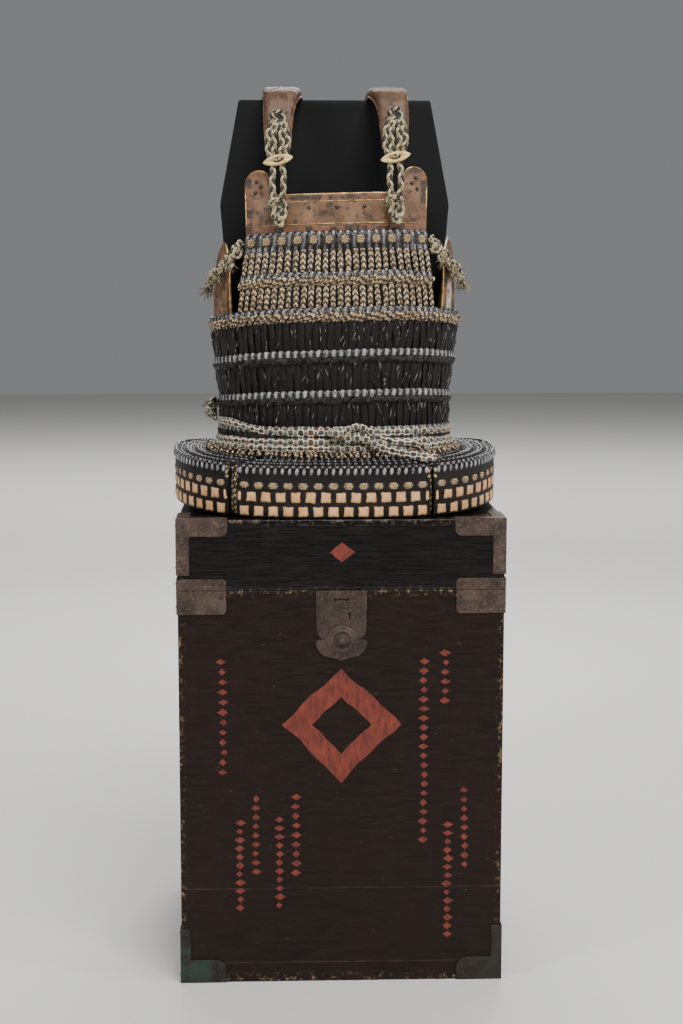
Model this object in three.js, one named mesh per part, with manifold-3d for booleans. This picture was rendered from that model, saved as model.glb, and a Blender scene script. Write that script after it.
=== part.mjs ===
// A laced lamellar cuirass of the wrap-round kind, standing on its armour box.
// Millimetres, +Z up, the front faces -Y. The origin is the middle of the box's foot.
import * as THREE from "three";
import { mergeVertices } from "three/addons/utils/BufferGeometryUtils.js";
import Module from "manifold-3d";

const wasm = await Module();
wasm.setup();

// ---- driving dimensions -------------------------------------------------

const gap = 0.3; // between pieces that touch

const box = { width: 420, height: 614, lidHeight: 91, wall: 12 };
const iron = { thick: 1.4 };

// Heights from here on are above the box's lid, on which the armour stands.
const lidTop = box.height + gap;
const armourX = -3; // the armour stands this far off the box's middle

// The body's plan at each height: half width, half depth and squareness.
const bodyForm = [
  { h: 60, a: 155, b: 122, n: 2.4 },
  { h: 112, a: 154.5, b: 121, n: 2.4 },
  { h: 156, a: 155, b: 121, n: 2.4 },
  { h: 206, a: 160.5, b: 124, n: 2.4 },
  { h: 252, a: 165.5, b: 127, n: 2.4 },
  { h: 300, a: 165.5, b: 127, n: 2.6 },
  { h: 370, a: 160, b: 121, n: 3.0 },
  { h: 450, a: 156, b: 112, n: 3.2 },
  { h: 520, a: 153, b: 106, n: 3.2 },
];

// The laced rows hang unevenly: they drop at the sides and rise towards +x.
const hang = { from: 90, to: 170, halfWidth: 168, sideDrop: 11, slant: 4.5 };

// A row of scales. Its heads stand out over the foot of the row above, which is tucked in behind them.
// Each line is a corner of the row's cross-section: how far out, and how far below the top or above the foot.
const rowOuter = [
  { out: 4, below: 0 },
  { out: 4.8, below: 8.5 },
  { out: 1.8, below: 13.5 },
];
const rowFoot = { out: 0, inner: -3.6, overlap: 14 };
const rowInner = [
  { out: -3.6, below: 19 },
  { out: 1, below: 14.2 },
  { out: 1, below: 0 },
];

// Rows of the chest, narrower between the armholes. Widths are half widths across the front.
const chestRows = [
  { name: "chest_lame_1", top: 367, bottom: 302, topHalf: 117, bottomHalf: 127 },
  { name: "chest_lame_2", top: 315, bottom: 255, topHalf: 124, bottomHalf: 131 },
];
const backRows = [
  { name: "back_lame_1", top: 315, bottom: 255, topHalf: 126, bottomHalf: 131 },
  { name: "back_lame_2", top: 362, bottom: 301, topHalf: 120, bottomHalf: 126 },
  { name: "back_lame_3", top: 409, bottom: 348, topHalf: 114, bottomHalf: 120 },
];
// Rows that go right round. They open under the wearer's right arm, at wrap.edge.
const waistRows = [
  { name: "waist_lame_1", top: 268, bottom: 200 },
  { name: "waist_lame_2", top: 213, bottom: 147 },
  { name: "waist_lame_3", top: 160, bottom: 99 },
  { name: "waist_lame_4", top: 112, bottom: 78 },
];
const wrap = { edge: -0.158, slit: 0.003, step: 3, ramp: 0.09, segments: 48 };

const breastPlate = {
  bottom: 356, top: 414, halfWidth: 119, thick: 4, segments: 34,
  ear: { middle: 102.5, radius: 16.5, shoulder: 431 },
};
const backPlate = { bottom: 396, top: 498, halfWidth: 114, corner: 30, neckDip: 7, thick: 4, segments: 20 };
const sidePlate = {
  bottom: 256, dip: 322, peak: 361, thick: 3.2, sink: 0.6,
  frontFrac: 0.163, backFrac: 0.337, peakShare: 0.16, segments: 16,
};

// Shoulder strap along its length, from the front end over the shoulder to its root.
const strap = { edge: 5, thick: 5 };
const strapRun = [
  { y: -107, h: 467, x: 76, width: 30, flange: 6 },
  { y: -105, h: 489, x: 76, width: 33, flange: 6 },
  { y: -98, h: 519, x: 75, width: 37, flange: 8 },
  { y: -80, h: 545, x: 72.5, width: 43, flange: 12 },
  { y: -50, h: 555, x: 70.5, width: 50, flange: 12 },
  { y: -22, h: 558, x: 70, width: 52, flange: 15 },
  { y: 20, h: 557, x: 70, width: 54, flange: 16 },
  { y: 56, h: 546, x: 70, width: 54, flange: 12 },
  { y: 80, h: 524, x: 70, width: 54, flange: 8 },
  { y: 88, h: 500, x: 70, width: 54, flange: 6 },
  { y: 89, h: 478, x: 70, width: 54, flange: 6 },
];

// The plain board inside that carries the straps, and its foot.
const board = { y: -22, thick: 24, round: 6, footWidth: 230, footDepth: 150, footThick: 12 };
const boardOutline = [
  { h: 541, half: 128 },
  { h: 404, half: 154 },
  { h: 340, half: 149 },
  { h: 250, half: 138 },
  { h: 12, half: 138 },
];

// Skirt: five tassets, let down and stacked on the lid, spread between the waist and the hem.
const skirt = {
  inner: { a: 162, b: 129, n: 2.4 },
  hem: { a: 218, b: 205, n: 2.7 },
  sideLift: 10, hemTop: 67, hemThick: 5,
};
const skirtSteps = [ // share of the way from waist to hem, and height
  { share: 0.08, h: 67 },
  { share: 0.24, h: 70.5 },
  { share: 0.26, h: 66.5 },
  { share: 0.5, h: 69.5 },
  { share: 0.52, h: 65 },
  { share: 0.75, h: 68 },
  { share: 0.77, h: 63 },
  { share: 0.9, h: 65.5 },
];
const frontTasset = { left: -130, right: 117, leftGap: 15, rightGap: 8, otherGap: 10 };
const tassetNames = ["front", "left_side", "left_back", "right_back", "right_side"];

// The laces from which the tassets hang, seen as a flared band under the belt.
const hangingLace = [
  { out: -4, h: 75.5 },
  { out: 0.5, h: 77 },
  { out: 14, h: 74.5 },
  { out: 19, h: 71.2 },
  { out: 15, h: 71 },
  { out: 2, h: 73 },
];

// Cloth belt: three turns round the waist, a knot and two ends in front, a bow at the side.
const beltThick = 1.8;
const beltTurns = [
  { name: "belt_turn_upper", h: 104, width: 12, out: 5.6, leftRise: 14, rightRise: -1.5 },
  { name: "belt_turn_middle", h: 91, width: 9.5, out: 5.6, leftRise: -1, rightRise: -1 },
  { name: "belt_turn_lower", h: 82.8, width: 10, out: 7.8, leftRise: 1, rightRise: 1 },
];
const beltKnot = { x: 1, h: 104, out: 15, size: [13, 7, 9] };
const beltEnds = [
  { width: 8, run: [
    { x: 4, h: 105, out: 14 },
    { x: 15, h: 109, out: 13 },
    { x: 26, h: 112, out: 10.5 },
    { x: 38, h: 108.5, out: 10 },
    { x: 50, h: 99, out: 10 },
    { x: 72, h: 91, out: 11.5 },
    { x: 101, h: 87, out: 12.5 },
    { x: 113, h: 80, out: 13 },
  ] },
  { width: 13, run: [
    { x: 3, h: 100, out: 14 },
    { x: 16, h: 97, out: 14.5 },
    { x: 31, h: 97, out: 14.5 },
    { x: 46, h: 90, out: 15 },
    { x: 60, h: 83, out: 18 },
    { x: 75, h: 78.5, out: 32 },
    { x: 88, h: 76, out: 50 },
    { x: 99, h: 74, out: 64 },
  ] },
];
const beltBow = { frac: -0.238, h: 142, out: 12, size: [9, 6, 15] };

// Cords that close the shoulders, with their toggles, and the ties of the side plates.
const cord = {
  x: 76, spread: 6.5, radius: 3.4, sides: 7,
  eye: { y: -110, h: 512 }, toggle: { y: -120, h: 459 }, knot: { y: -124, h: 394 },
};
const toggle = { length: 40, height: 10, thick: 7, slotLength: 14, slotHeight: 4, tilt: 0.21 };
const sideTie = { radius: 2.6, knot: 6.5, run: [
  { x: 123.5, y: -86, h: 357 },
  { x: 131, y: -91, h: 347 },
  { x: 142, y: -89, h: 336 },
  { x: 159, y: -72, h: 322 },
  { x: 170, y: -50, h: 308 },
] };

// ---- materials ----------------------------------------------------------

const finish = (color, roughness, metalness = 0) => new THREE.MeshStandardMaterial({ color, roughness, metalness });
const darkWood = finish(0x2a201c, 0.5);
const lacquer = finish(0x161313, 0.3);
const rustIron = finish(0x5a4a40, 0.6, 0.6);
const darkLace = finish(0x2c2628, 0.8);
const tanLace = finish(0x8a7558, 0.8);
const leather = finish(0x7d5a42, 0.6);
const creamCord = finish(0xb9b08c, 0.8);
const beltCloth = finish(0x93938a, 0.9);
const bone = finish(0xcbbd92, 0.5);
const black = finish(0x0d0d0f, 0.7);

// ---- shapes -------------------------------------------------------------

const mix = (a, b, t) => a + (b - a) * t;
const smooth = (from, to, v) => THREE.MathUtils.smoothstep(v, from, to);

// A closed skin over rings of points, with flat ends unless the rings run full circle.
function skin(rings, outline, fullCircle = false) {
  const count = rings.length, size = rings[0].length, faces = [];
  for (let i = 0; i < (fullCircle ? count : count - 1); i++)
    for (let j = 0; j < size; j++) {
      const next = ((i + 1) % count) * size, k = (j + 1) % size;
      faces.push([i * size + j, i * size + k, next + k], [i * size + j, next + k, next + j]);
    }
  if (!fullCircle) {
    const flat = outline.map(([x, y]) => new THREE.Vector2(x, y));
    const turn = Math.sign(THREE.ShapeUtils.area(flat)), end = (count - 1) * size;
    for (const [a, b, c] of THREE.ShapeUtils.triangulateShape(flat, [])) {
      const same = Math.sign(THREE.ShapeUtils.area([flat[a], flat[b], flat[c]])) === turn;
      const [p, q, r] = same ? [a, b, c] : [c, b, a];
      faces.push([r, q, p], [end + p, end + q, end + r]);
    }
  }
  const points = rings.flat();
  const volume = faces.reduce((sum, [a, b, c]) => sum + points[a].dot(points[b].clone().cross(points[c])), 0);
  const geometry = new THREE.BufferGeometry().setFromPoints(points);
  geometry.setIndex(faces.flatMap(([a, b, c]) => (volume < 0 ? [c, b, a] : [a, b, c])));
  return geometry;
}

// A plan curve |x/a|^n + |y/b|^n = 1, walked by its length from the front middle towards +x.
const planCache = new Map();
function planCurve(a, b, n) {
  const key = [a, b, n].map((v) => v.toFixed(3)).join();
  if (!planCache.has(key)) {
    const steps = 720, points = [], lengths = [0];
    const power = (v) => Math.sign(v) * Math.abs(v) ** (2 / n);
    for (let i = 0; i <= steps; i++) {
      const t = (i / steps) * 2 * Math.PI;
      points.push([a * power(Math.sin(t)), -b * power(Math.cos(t))]);
      if (i) lengths.push(lengths[i - 1] + Math.hypot(points[i][0] - points[i - 1][0], points[i][1] - points[i - 1][1]));
    }
    planCache.set(key, { a, b, n, points, lengths, total: lengths[steps] });
  }
  return planCache.get(key);
}
function onPlan(plan, share, out) {
  const s = (share - Math.floor(share)) * plan.total;
  let i = plan.lengths.findIndex((l) => l >= s);
  i = Math.max(i, 1);
  const t = (s - plan.lengths[i - 1]) / (plan.lengths[i] - plan.lengths[i - 1]);
  const x = mix(plan.points[i - 1][0], plan.points[i][0], t), y = mix(plan.points[i - 1][1], plan.points[i][1], t);
  const nx = (Math.sign(x) * Math.abs(x / plan.a) ** (plan.n - 1)) / plan.a;
  const ny = (Math.sign(y) * Math.abs(y / plan.b) ** (plan.n - 1)) / plan.b;
  const k = out / Math.hypot(nx, ny);
  return [x + nx * k, y + ny * k];
}
// The share of the way round at which the plan curve reaches x on its front side.
function shareAt(plan, x) {
  const i = plan.points.findIndex(([px, py]) => px >= Math.abs(x) && py <= 0);
  return (Math.sign(x) * plan.lengths[i]) / plan.total;
}

function bodyPlan(h) {
  const i = Math.max(1, bodyForm.findIndex((f) => f.h >= h));
  const [p, q] = [bodyForm[i - 1], bodyForm[i]], t = THREE.MathUtils.clamp((h - p.h) / (q.h - p.h), 0, 1);
  return planCurve(mix(p.a, q.a, t), mix(p.b, q.b, t), mix(p.n, q.n, t));
}
function hung(x, h) {
  const k = x / hang.halfWidth;
  return h + smooth(hang.from, hang.to, h) * (hang.slant * k - hang.sideDrop * k ** 4);
}
function bodyPoint(share, h, out) {
  const [x, y] = onPlan(bodyPlan(h), share, out);
  return new THREE.Vector3(x, y, hung(x, h));
}
function skirtPlan(share) {
  const { inner, hem } = skirt;
  return planCurve(mix(inner.a, hem.a, share), mix(inner.b, hem.b, share), mix(inner.n, hem.n, share));
}
const lifted = (x, h) => h + skirt.sideLift * Math.min(1, Math.abs(x / skirt.hem.a)) ** 4;

// ---- rows of scales and plates ------------------------------------------

const rowSection = ({ top, bottom }) => [
  ...rowOuter.map(({ out, below }) => [out, top - below]),
  [rowFoot.out, bottom + rowFoot.overlap],
  [rowFoot.out, bottom],
  [rowFoot.inner, bottom],
  ...rowInner.map(({ out, below }) => [out, top - below]),
];

function partRow(spec, back) {
  const section = rowSection(spec), segments = 20, rings = [];
  for (let i = 0; i <= segments; i++) {
    const across = mix(-1, 1, i / segments);
    rings.push(section.map(([out, h]) => {
      const half = mix(spec.bottomHalf, spec.topHalf, (h - spec.bottom) / (spec.top - spec.bottom));
      const share = shareAt(bodyPlan(h), half) * across;
      return bodyPoint(back ? 0.5 + share : share, h, out);
    }));
  }
  return skin(rings, section);
}

// Near the opening the rear end lies a little further in than the front end.
const openingStep = (share) => -wrap.step * smooth(1 - wrap.ramp, 1, share - wrap.edge);

function roundRow(spec) {
  const section = rowSection(spec), rings = [];
  for (let i = 0; i <= wrap.segments; i++) {
    const share = wrap.edge + (1 - wrap.slit) * (i / wrap.segments);
    rings.push(section.map(([out, h]) => bodyPoint(share, h, out + openingStep(share))));
  }
  return skin(rings, section);
}

// A curved plate whose top edge follows topAt(x).
function bentPlate({ segments, thick, bottom, halfWidth }, topAt, sink, back) {
  const rings = [], outline = [[-thick, 0], [0, 0], [0, 1], [-thick, 1]];
  for (let i = 0; i <= segments; i++) {
    const x = mix(-halfWidth, halfWidth, i / segments), top = topAt(x);
    rings.push(outline.map(([out, side]) => {
      const h = side ? top : bottom, share = shareAt(bodyPlan(h), x || 0.01);
      return bodyPoint(back ? 0.5 + share : share, h, out - (side ? 0 : sink));
    }));
  }
  return skin(rings, outline);
}
function breastTop(x) {
  const { middle, radius, shoulder } = breastPlate.ear, d = Math.abs(Math.abs(x) - middle);
  const ear = d < radius ? shoulder + Math.sqrt(radius ** 2 - d ** 2) : 0;
  const slope = breastPlate.top + Math.max(0, (Math.abs(x) - middle + radius + 6) * 2.6);
  return Math.max(breastPlate.top, Math.abs(x) < middle ? Math.min(slope, Math.max(ear, breastPlate.top)) : ear);
}
function backTop(x) {
  const { top, corner, halfWidth, neckDip } = backPlate, d = Math.max(0, Math.abs(x) - halfWidth + corner);
  return top - corner + Math.sqrt(corner ** 2 - d ** 2) - neckDip * Math.max(0, 1 - (x / 45) ** 2);
}
function sidePlateGeometry(side) {
  const { frontFrac, backFrac, segments, thick, sink, bottom, dip, peak, peakShare } = sidePlate;
  const outline = [[-thick, 0], [0, 0], [0, 1], [-thick, 1]], rings = [];
  for (let i = 0; i <= segments; i++) {
    const t = i / segments, share = side * mix(frontFrac, backFrac, t);
    const fromEnd = Math.min(t, 1 - t), rise = 1 - smooth(peakShare * 0.6, 0.46, fromEnd);
    const top = mix(dip, peak, rise) - 20 * (1 - smooth(0, peakShare * 0.6, fromEnd));
    const round = side < 0 ? openingStep(share + 1) : 0;
    rings.push(outline.map(([out, up]) => bodyPoint(share, up ? top : bottom, out - sink + round)));
  }
  return skin(rings, outline);
}

// ---- straps, board, cords -----------------------------------------------

function strapGeometry(side) {
  const path = new THREE.CatmullRomCurve3(strapRun.map((p) => new THREE.Vector3(p.x, p.y, p.h)), false, "centripetal");
  const across = new THREE.Vector3(1, 0, 0), rings = [];
  const steps = (strapRun.length - 1) * 2;
  let outline;
  for (let i = 0; i <= steps; i++) {
    const low = Math.min(Math.floor(i / 2), strapRun.length - 2), t = i / 2 - low;
    const [p, q] = [strapRun[low], strapRun[low + 1]];
    const point = path.getPoint(i / steps), up = across.clone().cross(path.getTangent(i / steps));
    const w = mix(p.width, q.width, t) / 2, flange = mix(p.flange, q.flange, t), { edge, thick } = strap;
    outline = [
      [-w, -flange], [-w, -3], [-w + 3, 0], [w - 3, 0], [w, -3], [w, -flange],
      [w - edge, -flange], [w - edge, -thick], [edge - w, -thick], [edge - w, -flange],
    ];
    rings.push(outline.map(([u, v]) => point.clone().addScaledVector(across, u).addScaledVector(up, v)));
  }
  const geometry = skin(rings.map((ring) => ring.map((p) => new THREE.Vector3(side * p.x, p.y, p.z))), outline);
  return geometry;
}

// The part's own booleans: a geometry as a solid, and back.
function solid(geometry) {
  const bare = geometry.index ? geometry.toNonIndexed() : geometry.clone();
  for (const name of Object.keys(bare.attributes)) if (name !== "position") bare.deleteAttribute(name);
  const merged = mergeVertices(bare, 1e-3);
  return new wasm.Manifold(new wasm.Mesh({
    numProp: 3,
    vertProperties: new Float32Array(merged.attributes.position.array),
    triVerts: new Uint32Array(merged.index.array),
  }));
}
function joined(...geometries) {
  const mesh = geometries.map(solid).reduce((a, b) => a.add(b)).getMesh();
  const geometry = new THREE.BufferGeometry();
  geometry.setAttribute("position", new THREE.BufferAttribute(mesh.vertProperties, 3));
  return geometry.setIndex(new THREE.BufferAttribute(mesh.triVerts, 1));
}
function tube(points, radius, sides, steps) {
  const curve = new THREE.CatmullRomCurve3(points), shape = new THREE.Shape();
  for (let i = 0; i < sides; i++) {
    const a = (i / sides) * 2 * Math.PI;
    shape[i ? "lineTo" : "moveTo"](radius * Math.cos(a), radius * Math.sin(a));
  }
  return new THREE.ExtrudeGeometry(shape, { steps, extrudePath: curve, bevelEnabled: false });
}
const ball = (x, y, z, sx, sy, sz) =>
  new THREE.SphereGeometry(1, 10, 8).scale(sx, sy, sz).translate(x, y, z);

const at = (x, y, h) => new THREE.Vector3(x, y, hung(x, h));

function strapCords(side) {
  const { x, spread, radius, sides, eye, toggle: held, knot } = cord, parts = {};
  const clear = toggle.height / 2 + 2.4;
  for (const [name, end, from] of [["upper", eye, clear], ["lower", knot, -clear]]) {
    const strands = [-1, 1].map((s) => {
      const foot = held.h + from + s * spread * Math.tan(toggle.tilt);
      return tube([
        at(side * x + s * spread, held.y, foot),
        at(side * x + s * spread * 1.15, mix(held.y, end.y, 0.5), mix(foot, end.h, 0.5)),
        at(side * x + s * spread * 0.35, end.y, end.h),
      ], radius, sides, 6);
    });
    const size = name === "upper" ? [7.5, 5, 8] : [10, 7, 11];
    parts[name] = joined(...strands, ball(side * x, end.y, hung(side * x, end.h), ...size));
  }
  return parts;
}
function toggleGeometry() {
  const { length, height, thick, slotLength, slotHeight } = toggle, shape = new THREE.Shape();
  shape.moveTo(-length / 2, -1.5);
  shape.quadraticCurveTo(0, -height * 0.82, length / 2, -1.5);
  shape.lineTo(length / 2, 1.5);
  shape.quadraticCurveTo(0, height * 0.82, -length / 2, 1.5);
  shape.holes.push(new THREE.Path().absellipse(0, 0, slotLength / 2, slotHeight / 2, 0, 2 * Math.PI, true));
  const geometry = new THREE.ExtrudeGeometry(shape, { depth: thick, bevelEnabled: false, curveSegments: 6 });
  return geometry.translate(0, 0, -thick / 2).rotateX(Math.PI / 2);
}
function sideTieGeometry(side) {
  const points = sideTie.run.map(({ x, y, h }) => at(side * x, y, h)), k = sideTie.knot;
  const [knotA, knotB] = [points[2], points[4]];
  return joined(tube(points, sideTie.radius, 8, 8),
    ball(knotA.x, knotA.y, knotA.z, k, k * 0.9, k), ball(knotB.x, knotB.y, knotB.z, k, k, k * 1.1));
}

// ---- skirt and belt -----------------------------------------------------

function tassetSpans() {
  const plan = skirtPlan(1), { left, right, leftGap, rightGap, otherGap } = frontTasset;
  const gapShare = otherGap / plan.total;
  const from = shareAt(plan, right) + rightGap / plan.total, to = 1 + shareAt(plan, left) - leftGap / plan.total;
  const each = (to - from - 3 * gapShare) / 4;
  const spans = [[shareAt(plan, left), shareAt(plan, right)]];
  for (let i = 0; i < 4; i++) spans.push([from + i * (each + gapShare), from + i * (each + gapShare) + each]);
  return spans;
}
const skirtPoint = (round, share, h, out) => {
  const [x, y] = onPlan(skirtPlan(share), round, out);
  return new THREE.Vector3(x, y, lifted(x, h));
};
function tassetHem([from, to]) {
  const { hemThick: t, hemTop: top } = skirt;
  const outline = [[-t, 0], [0, 0], [0, top - 5], [-1.5, top], [-t, top]], rings = [], segments = 16;
  for (let i = 0; i <= segments; i++)
    rings.push(outline.map(([out, h]) => skirtPoint(mix(from, to, i / segments), 1, h, out)));
  return skin(rings, outline);
}
function tassetStack([from, to]) {
  const inside = -skirt.hemThick - 2 * gap, first = skirtSteps[0], rings = [], segments = 12;
  const outline = [
    [first.share, 0, 0], ...skirtSteps.map(({ share, h }) => [share, h, 0]),
    [1, 65, inside], [1, 0, inside],
  ];
  for (let i = 0; i <= segments; i++)
    rings.push(outline.map(([share, h, out]) => skirtPoint(mix(from, to, i / segments), share, h, out)));
  return skin(rings, outline.map(([share, h]) => [share * 100, h]));
}
function hangingLaceGeometry() {
  const rings = [];
  for (let i = 0; i < wrap.segments; i++)
    rings.push(hangingLace.map(({ out, h }) => {
      const [x, y] = onPlan(bodyPlan(h), i / wrap.segments, out);
      return new THREE.Vector3(x, y, mix(h, lifted(x, h), THREE.MathUtils.clamp(out / 14, 0, 1)));
    }));
  return skin(rings, null, true);
}
function beltTurn({ h, width, out, leftRise, rightRise }) {
  const rings = [], w = width / 2;
  for (let i = 0; i < wrap.segments; i++) {
    const share = i / wrap.segments, [x] = onPlan(bodyPlan(h), share, 0);
    const middle = h + (x < 0 ? leftRise : rightRise) * smooth(80, 158, Math.abs(x));
    rings.push([[out, -w], [out + beltThick, -w], [out + beltThick, w], [out, w]].map(([o, v]) => {
      const [px, py] = onPlan(bodyPlan(middle), share, o);
      return new THREE.Vector3(px, py, middle + v);
    }));
  }
  return skin(rings, null, true);
}
function beltEnd({ run, width }) {
  const path = new THREE.CatmullRomCurve3(run.map(({ x, h, out }) => {
    const plan = bodyPlan(h), [px, py] = onPlan(plan, shareAt(plan, x), out);
    return new THREE.Vector3(px, py, h);
  }), false, "centripetal");
  const steps = 14, t = beltThick / 2, w = width / 2, rings = [];
  const outline = [[-w, -t], [w, -t], [w, t], [-w, t]];
  for (let i = 0; i <= steps; i++) {
    const point = path.getPoint(i / steps), along = path.getTangent(i / steps);
    const lying = smooth(20, 45, -point.y - 121); // from upright on the body to flat on the skirt
    const face = new THREE.Vector3(0, -Math.cos(lying * 1.3), Math.sin(lying * 1.3));
    const side = new THREE.Vector3().crossVectors(face, along).normalize();
    const normal = new THREE.Vector3().crossVectors(along, side).normalize();
    rings.push(outline.map(([u, v]) => point.clone().addScaledVector(side, u).addScaledVector(normal, v)));
  }
  return skin(rings, outline);
}
function ballOnBody(share, h, out, [sx, sy, sz]) {
  const p = bodyPoint(share, h, out), [x, y] = onPlan(bodyPlan(h), share, 0);
  return new THREE.SphereGeometry(1, 12, 8).scale(sx, sy, sz)
    .rotateZ(Math.atan2(p.y - y, p.x - x) + Math.PI / 2).translate(p.x, p.y, p.z);
}

// ---- the board inside ---------------------------------------------------

function boardGeometry() {
  const t = board.thick / 2, r = board.round;
  const rings = boardOutline.map(({ h, half }) => [
    [-half, r - t], [r - half, -t], [half - r, -t], [half, r - t],
    [half, t - r], [half - r, t], [r - half, t], [-half, t - r],
  ].map(([x, y]) => new THREE.Vector3(x, board.y + y, h)));
  const outline = rings[0].map((p) => [p.x, p.y]);
  const foot = new THREE.BoxGeometry(board.footWidth, board.footDepth, board.footThick + 1)
    .translate(0, board.y, (board.footThick + 1) / 2);
  return joined(skin(rings, outline), foot);
}

// ---- the box ------------------------------------------------------------

function openBox(width, height, wall, openTop) {
  const outer = new THREE.BoxGeometry(width, width, height).translate(0, 0, height / 2);
  const inner = new THREE.BoxGeometry(width - 2 * wall, width - 2 * wall, height)
    .translate(0, 0, height / 2 + (openTop ? wall : -wall));
  const mesh = solid(outer).subtract(solid(inner)).getMesh(), geometry = new THREE.BufferGeometry();
  geometry.setAttribute("position", new THREE.BufferAttribute(mesh.vertProperties, 3));
  return geometry.setIndex(new THREE.BufferAttribute(mesh.triVerts, 1));
}
// The outline of one arm of a corner iron: from the corner along the face, with rounded free corners.
function armShape(length, low, high, round, leg) {
  const shape = new THREE.Shape();
  if (!leg) {
    shape.moveTo(0, low);
    shape.lineTo(round.low ? length - round.low : length, low);
    if (round.low) shape.absarc(length - round.low, low + round.low, round.low, -Math.PI / 2, 0);
    shape.lineTo(length, round.high ? high - round.high : high);
    if (round.high) shape.absarc(length - round.high, high - round.high, round.high, 0, Math.PI / 2);
    shape.lineTo(0, high);
    return shape;
  }
  const { width, far } = leg, down = far < low; // an upright leg along the box's edge
  if (down) {
    shape.moveTo(0, far);
    shape.lineTo(width, far);
    shape.lineTo(width, low);
    shape.lineTo(length - round.low, low);
    shape.absarc(length - round.low, low + round.low, round.low, -Math.PI / 2, 0);
    shape.lineTo(length, high);
    shape.lineTo(0, high);
  } else {
    shape.moveTo(0, low);
    shape.lineTo(length, low);
    shape.lineTo(length, high - round.high);
    shape.absarc(length - round.high, high - round.high, round.high, 0, Math.PI / 2);
    shape.lineTo(width, high);
    shape.lineTo(width, far);
    shape.lineTo(0, far);
  }
  return shape;
}
function cornerIron(shape, topArm) {
  const face = box.width / 2 + gap, t = iron.thick, outer = face + t;
  const plate = () => new THREE.ExtrudeGeometry(shape, { depth: t, bevelEnabled: false, curveSegments: 4 });
  const basis = (x, y, z, origin) => new THREE.Matrix4().makeBasis(x, y, z).setPosition(...origin);
  const [ex, ey, ez] = [new THREE.Vector3(1, 0, 0), new THREE.Vector3(0, 1, 0), new THREE.Vector3(0, 0, 1)];
  const parts = [
    plate().applyMatrix4(basis(ex, ez, ey.clone().negate(), [-outer, -face, 0])),
    plate().applyMatrix4(basis(ey, ez, ex, [-outer, -outer, 0])),
  ];
  if (topArm) {
    const { length, width, z } = topArm;
    for (const [w, d] of [[length, width], [width, length]])
      parts.push(new THREE.BoxGeometry(w, d, t).translate(w / 2 - outer, d / 2 - outer, z + gap + t / 2));
  }
  return joined(...parts);
}
const seam = box.height - box.lidHeight;
const cornerIrons = [
  { name: "lid_iron", length: 66, low: box.height - 21, high: box.height + gap + iron.thick, round: { low: 9 },
    leg: { width: 17, far: box.height - 71 }, topArm: { length: 66, width: 17, z: box.height } },
  { name: "lid_rim_iron", length: 64, low: seam + gap, high: seam + 15, round: { high: 5 } },
  { name: "rim_iron", length: 64, low: seam - 31, high: seam - gap, round: { low: 6 } },
  { name: "foot_iron", length: 60, low: 0, high: 31, round: { high: 14 }, leg: { width: 14, far: 74 } },
];
const corners = ["front_left", "front_right", "back_right", "back_left"];

function lockPlate() {
  const shape = new THREE.Shape(), w = 33, top = seam - gap, { thick } = iron;
  shape.moveTo(-w, top);
  shape.lineTo(-w + 1, top - 52);
  shape.quadraticCurveTo(-w + 3, top - 63, -22, top - 64);
  shape.quadraticCurveTo(-36, top - 62, -w, top - 72);
  shape.quadraticCurveTo(-27, top - 88, -16, top - 87);
  shape.lineTo(0, top - 92);
  shape.lineTo(16, top - 87);
  shape.quadraticCurveTo(27, top - 88, w, top - 72);
  shape.quadraticCurveTo(36, top - 62, 22, top - 64);
  shape.quadraticCurveTo(w - 3, top - 63, w - 1, top - 52);
  shape.lineTo(w, top);
  const plate = new THREE.ExtrudeGeometry(shape, { depth: thick, bevelEnabled: false, curveSegments: 3 })
    .rotateX(Math.PI / 2).translate(0, -box.width / 2 - gap, 0);
  const boss = new THREE.LatheGeometry(
    [[0, 0.2], [19, 0.2], [19, 2.2], [14, 3.4], [12, 3], [7.5, 3.6], [5.5, 7.2], [0, 8.6]].map(([x, y]) => new THREE.Vector2(x, y)), 16)
    .rotateX(Math.PI).translate(1, -box.width / 2 - gap, top - 66);
  return joined(plate, boss);
}

// ---- the whole ----------------------------------------------------------

const whole = new THREE.Group(), armour = new THREE.Group();
armour.position.set(armourX, 0, lidTop);
whole.add(armour);

function add(group, name, geometry, material) {
  const mesh = new THREE.Mesh(geometry, material);
  mesh.name = name;
  group.add(mesh);
  return mesh;
}

function addBox() {
  add(whole, "box_body", openBox(box.width, seam - gap, box.wall, true), darkWood);
  add(whole, "box_lid", openBox(box.width, box.lidHeight, box.wall, false), lacquer).position.z = seam;
  for (const { name, length, low, high, round, leg, topArm } of cornerIrons)
    corners.forEach((corner, i) => {
      const piece = cornerIron(armShape(length, low, high, round, leg), topArm);
      add(whole, `${name}_${corner}`, piece, rustIron).rotation.z = (i * Math.PI) / 2;
    });
  add(whole, "lock_plate", lockPlate(), rustIron);
}

function addBody() {
  for (const spec of chestRows) add(armour, spec.name, partRow(spec, false), tanLace);
  for (const spec of backRows) add(armour, spec.name, partRow(spec, true), tanLace);
  for (const spec of waistRows) add(armour, spec.name, roundRow(spec), darkLace);
  add(armour, "breast_plate", bentPlate(breastPlate, breastTop, 3.3, false), leather);
  add(armour, "back_plate", bentPlate(backPlate, backTop, 3.3, true), leather);
  add(armour, "side_plate_left", sidePlateGeometry(-1), leather);
  add(armour, "side_plate_right", sidePlateGeometry(1), leather);
}

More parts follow.
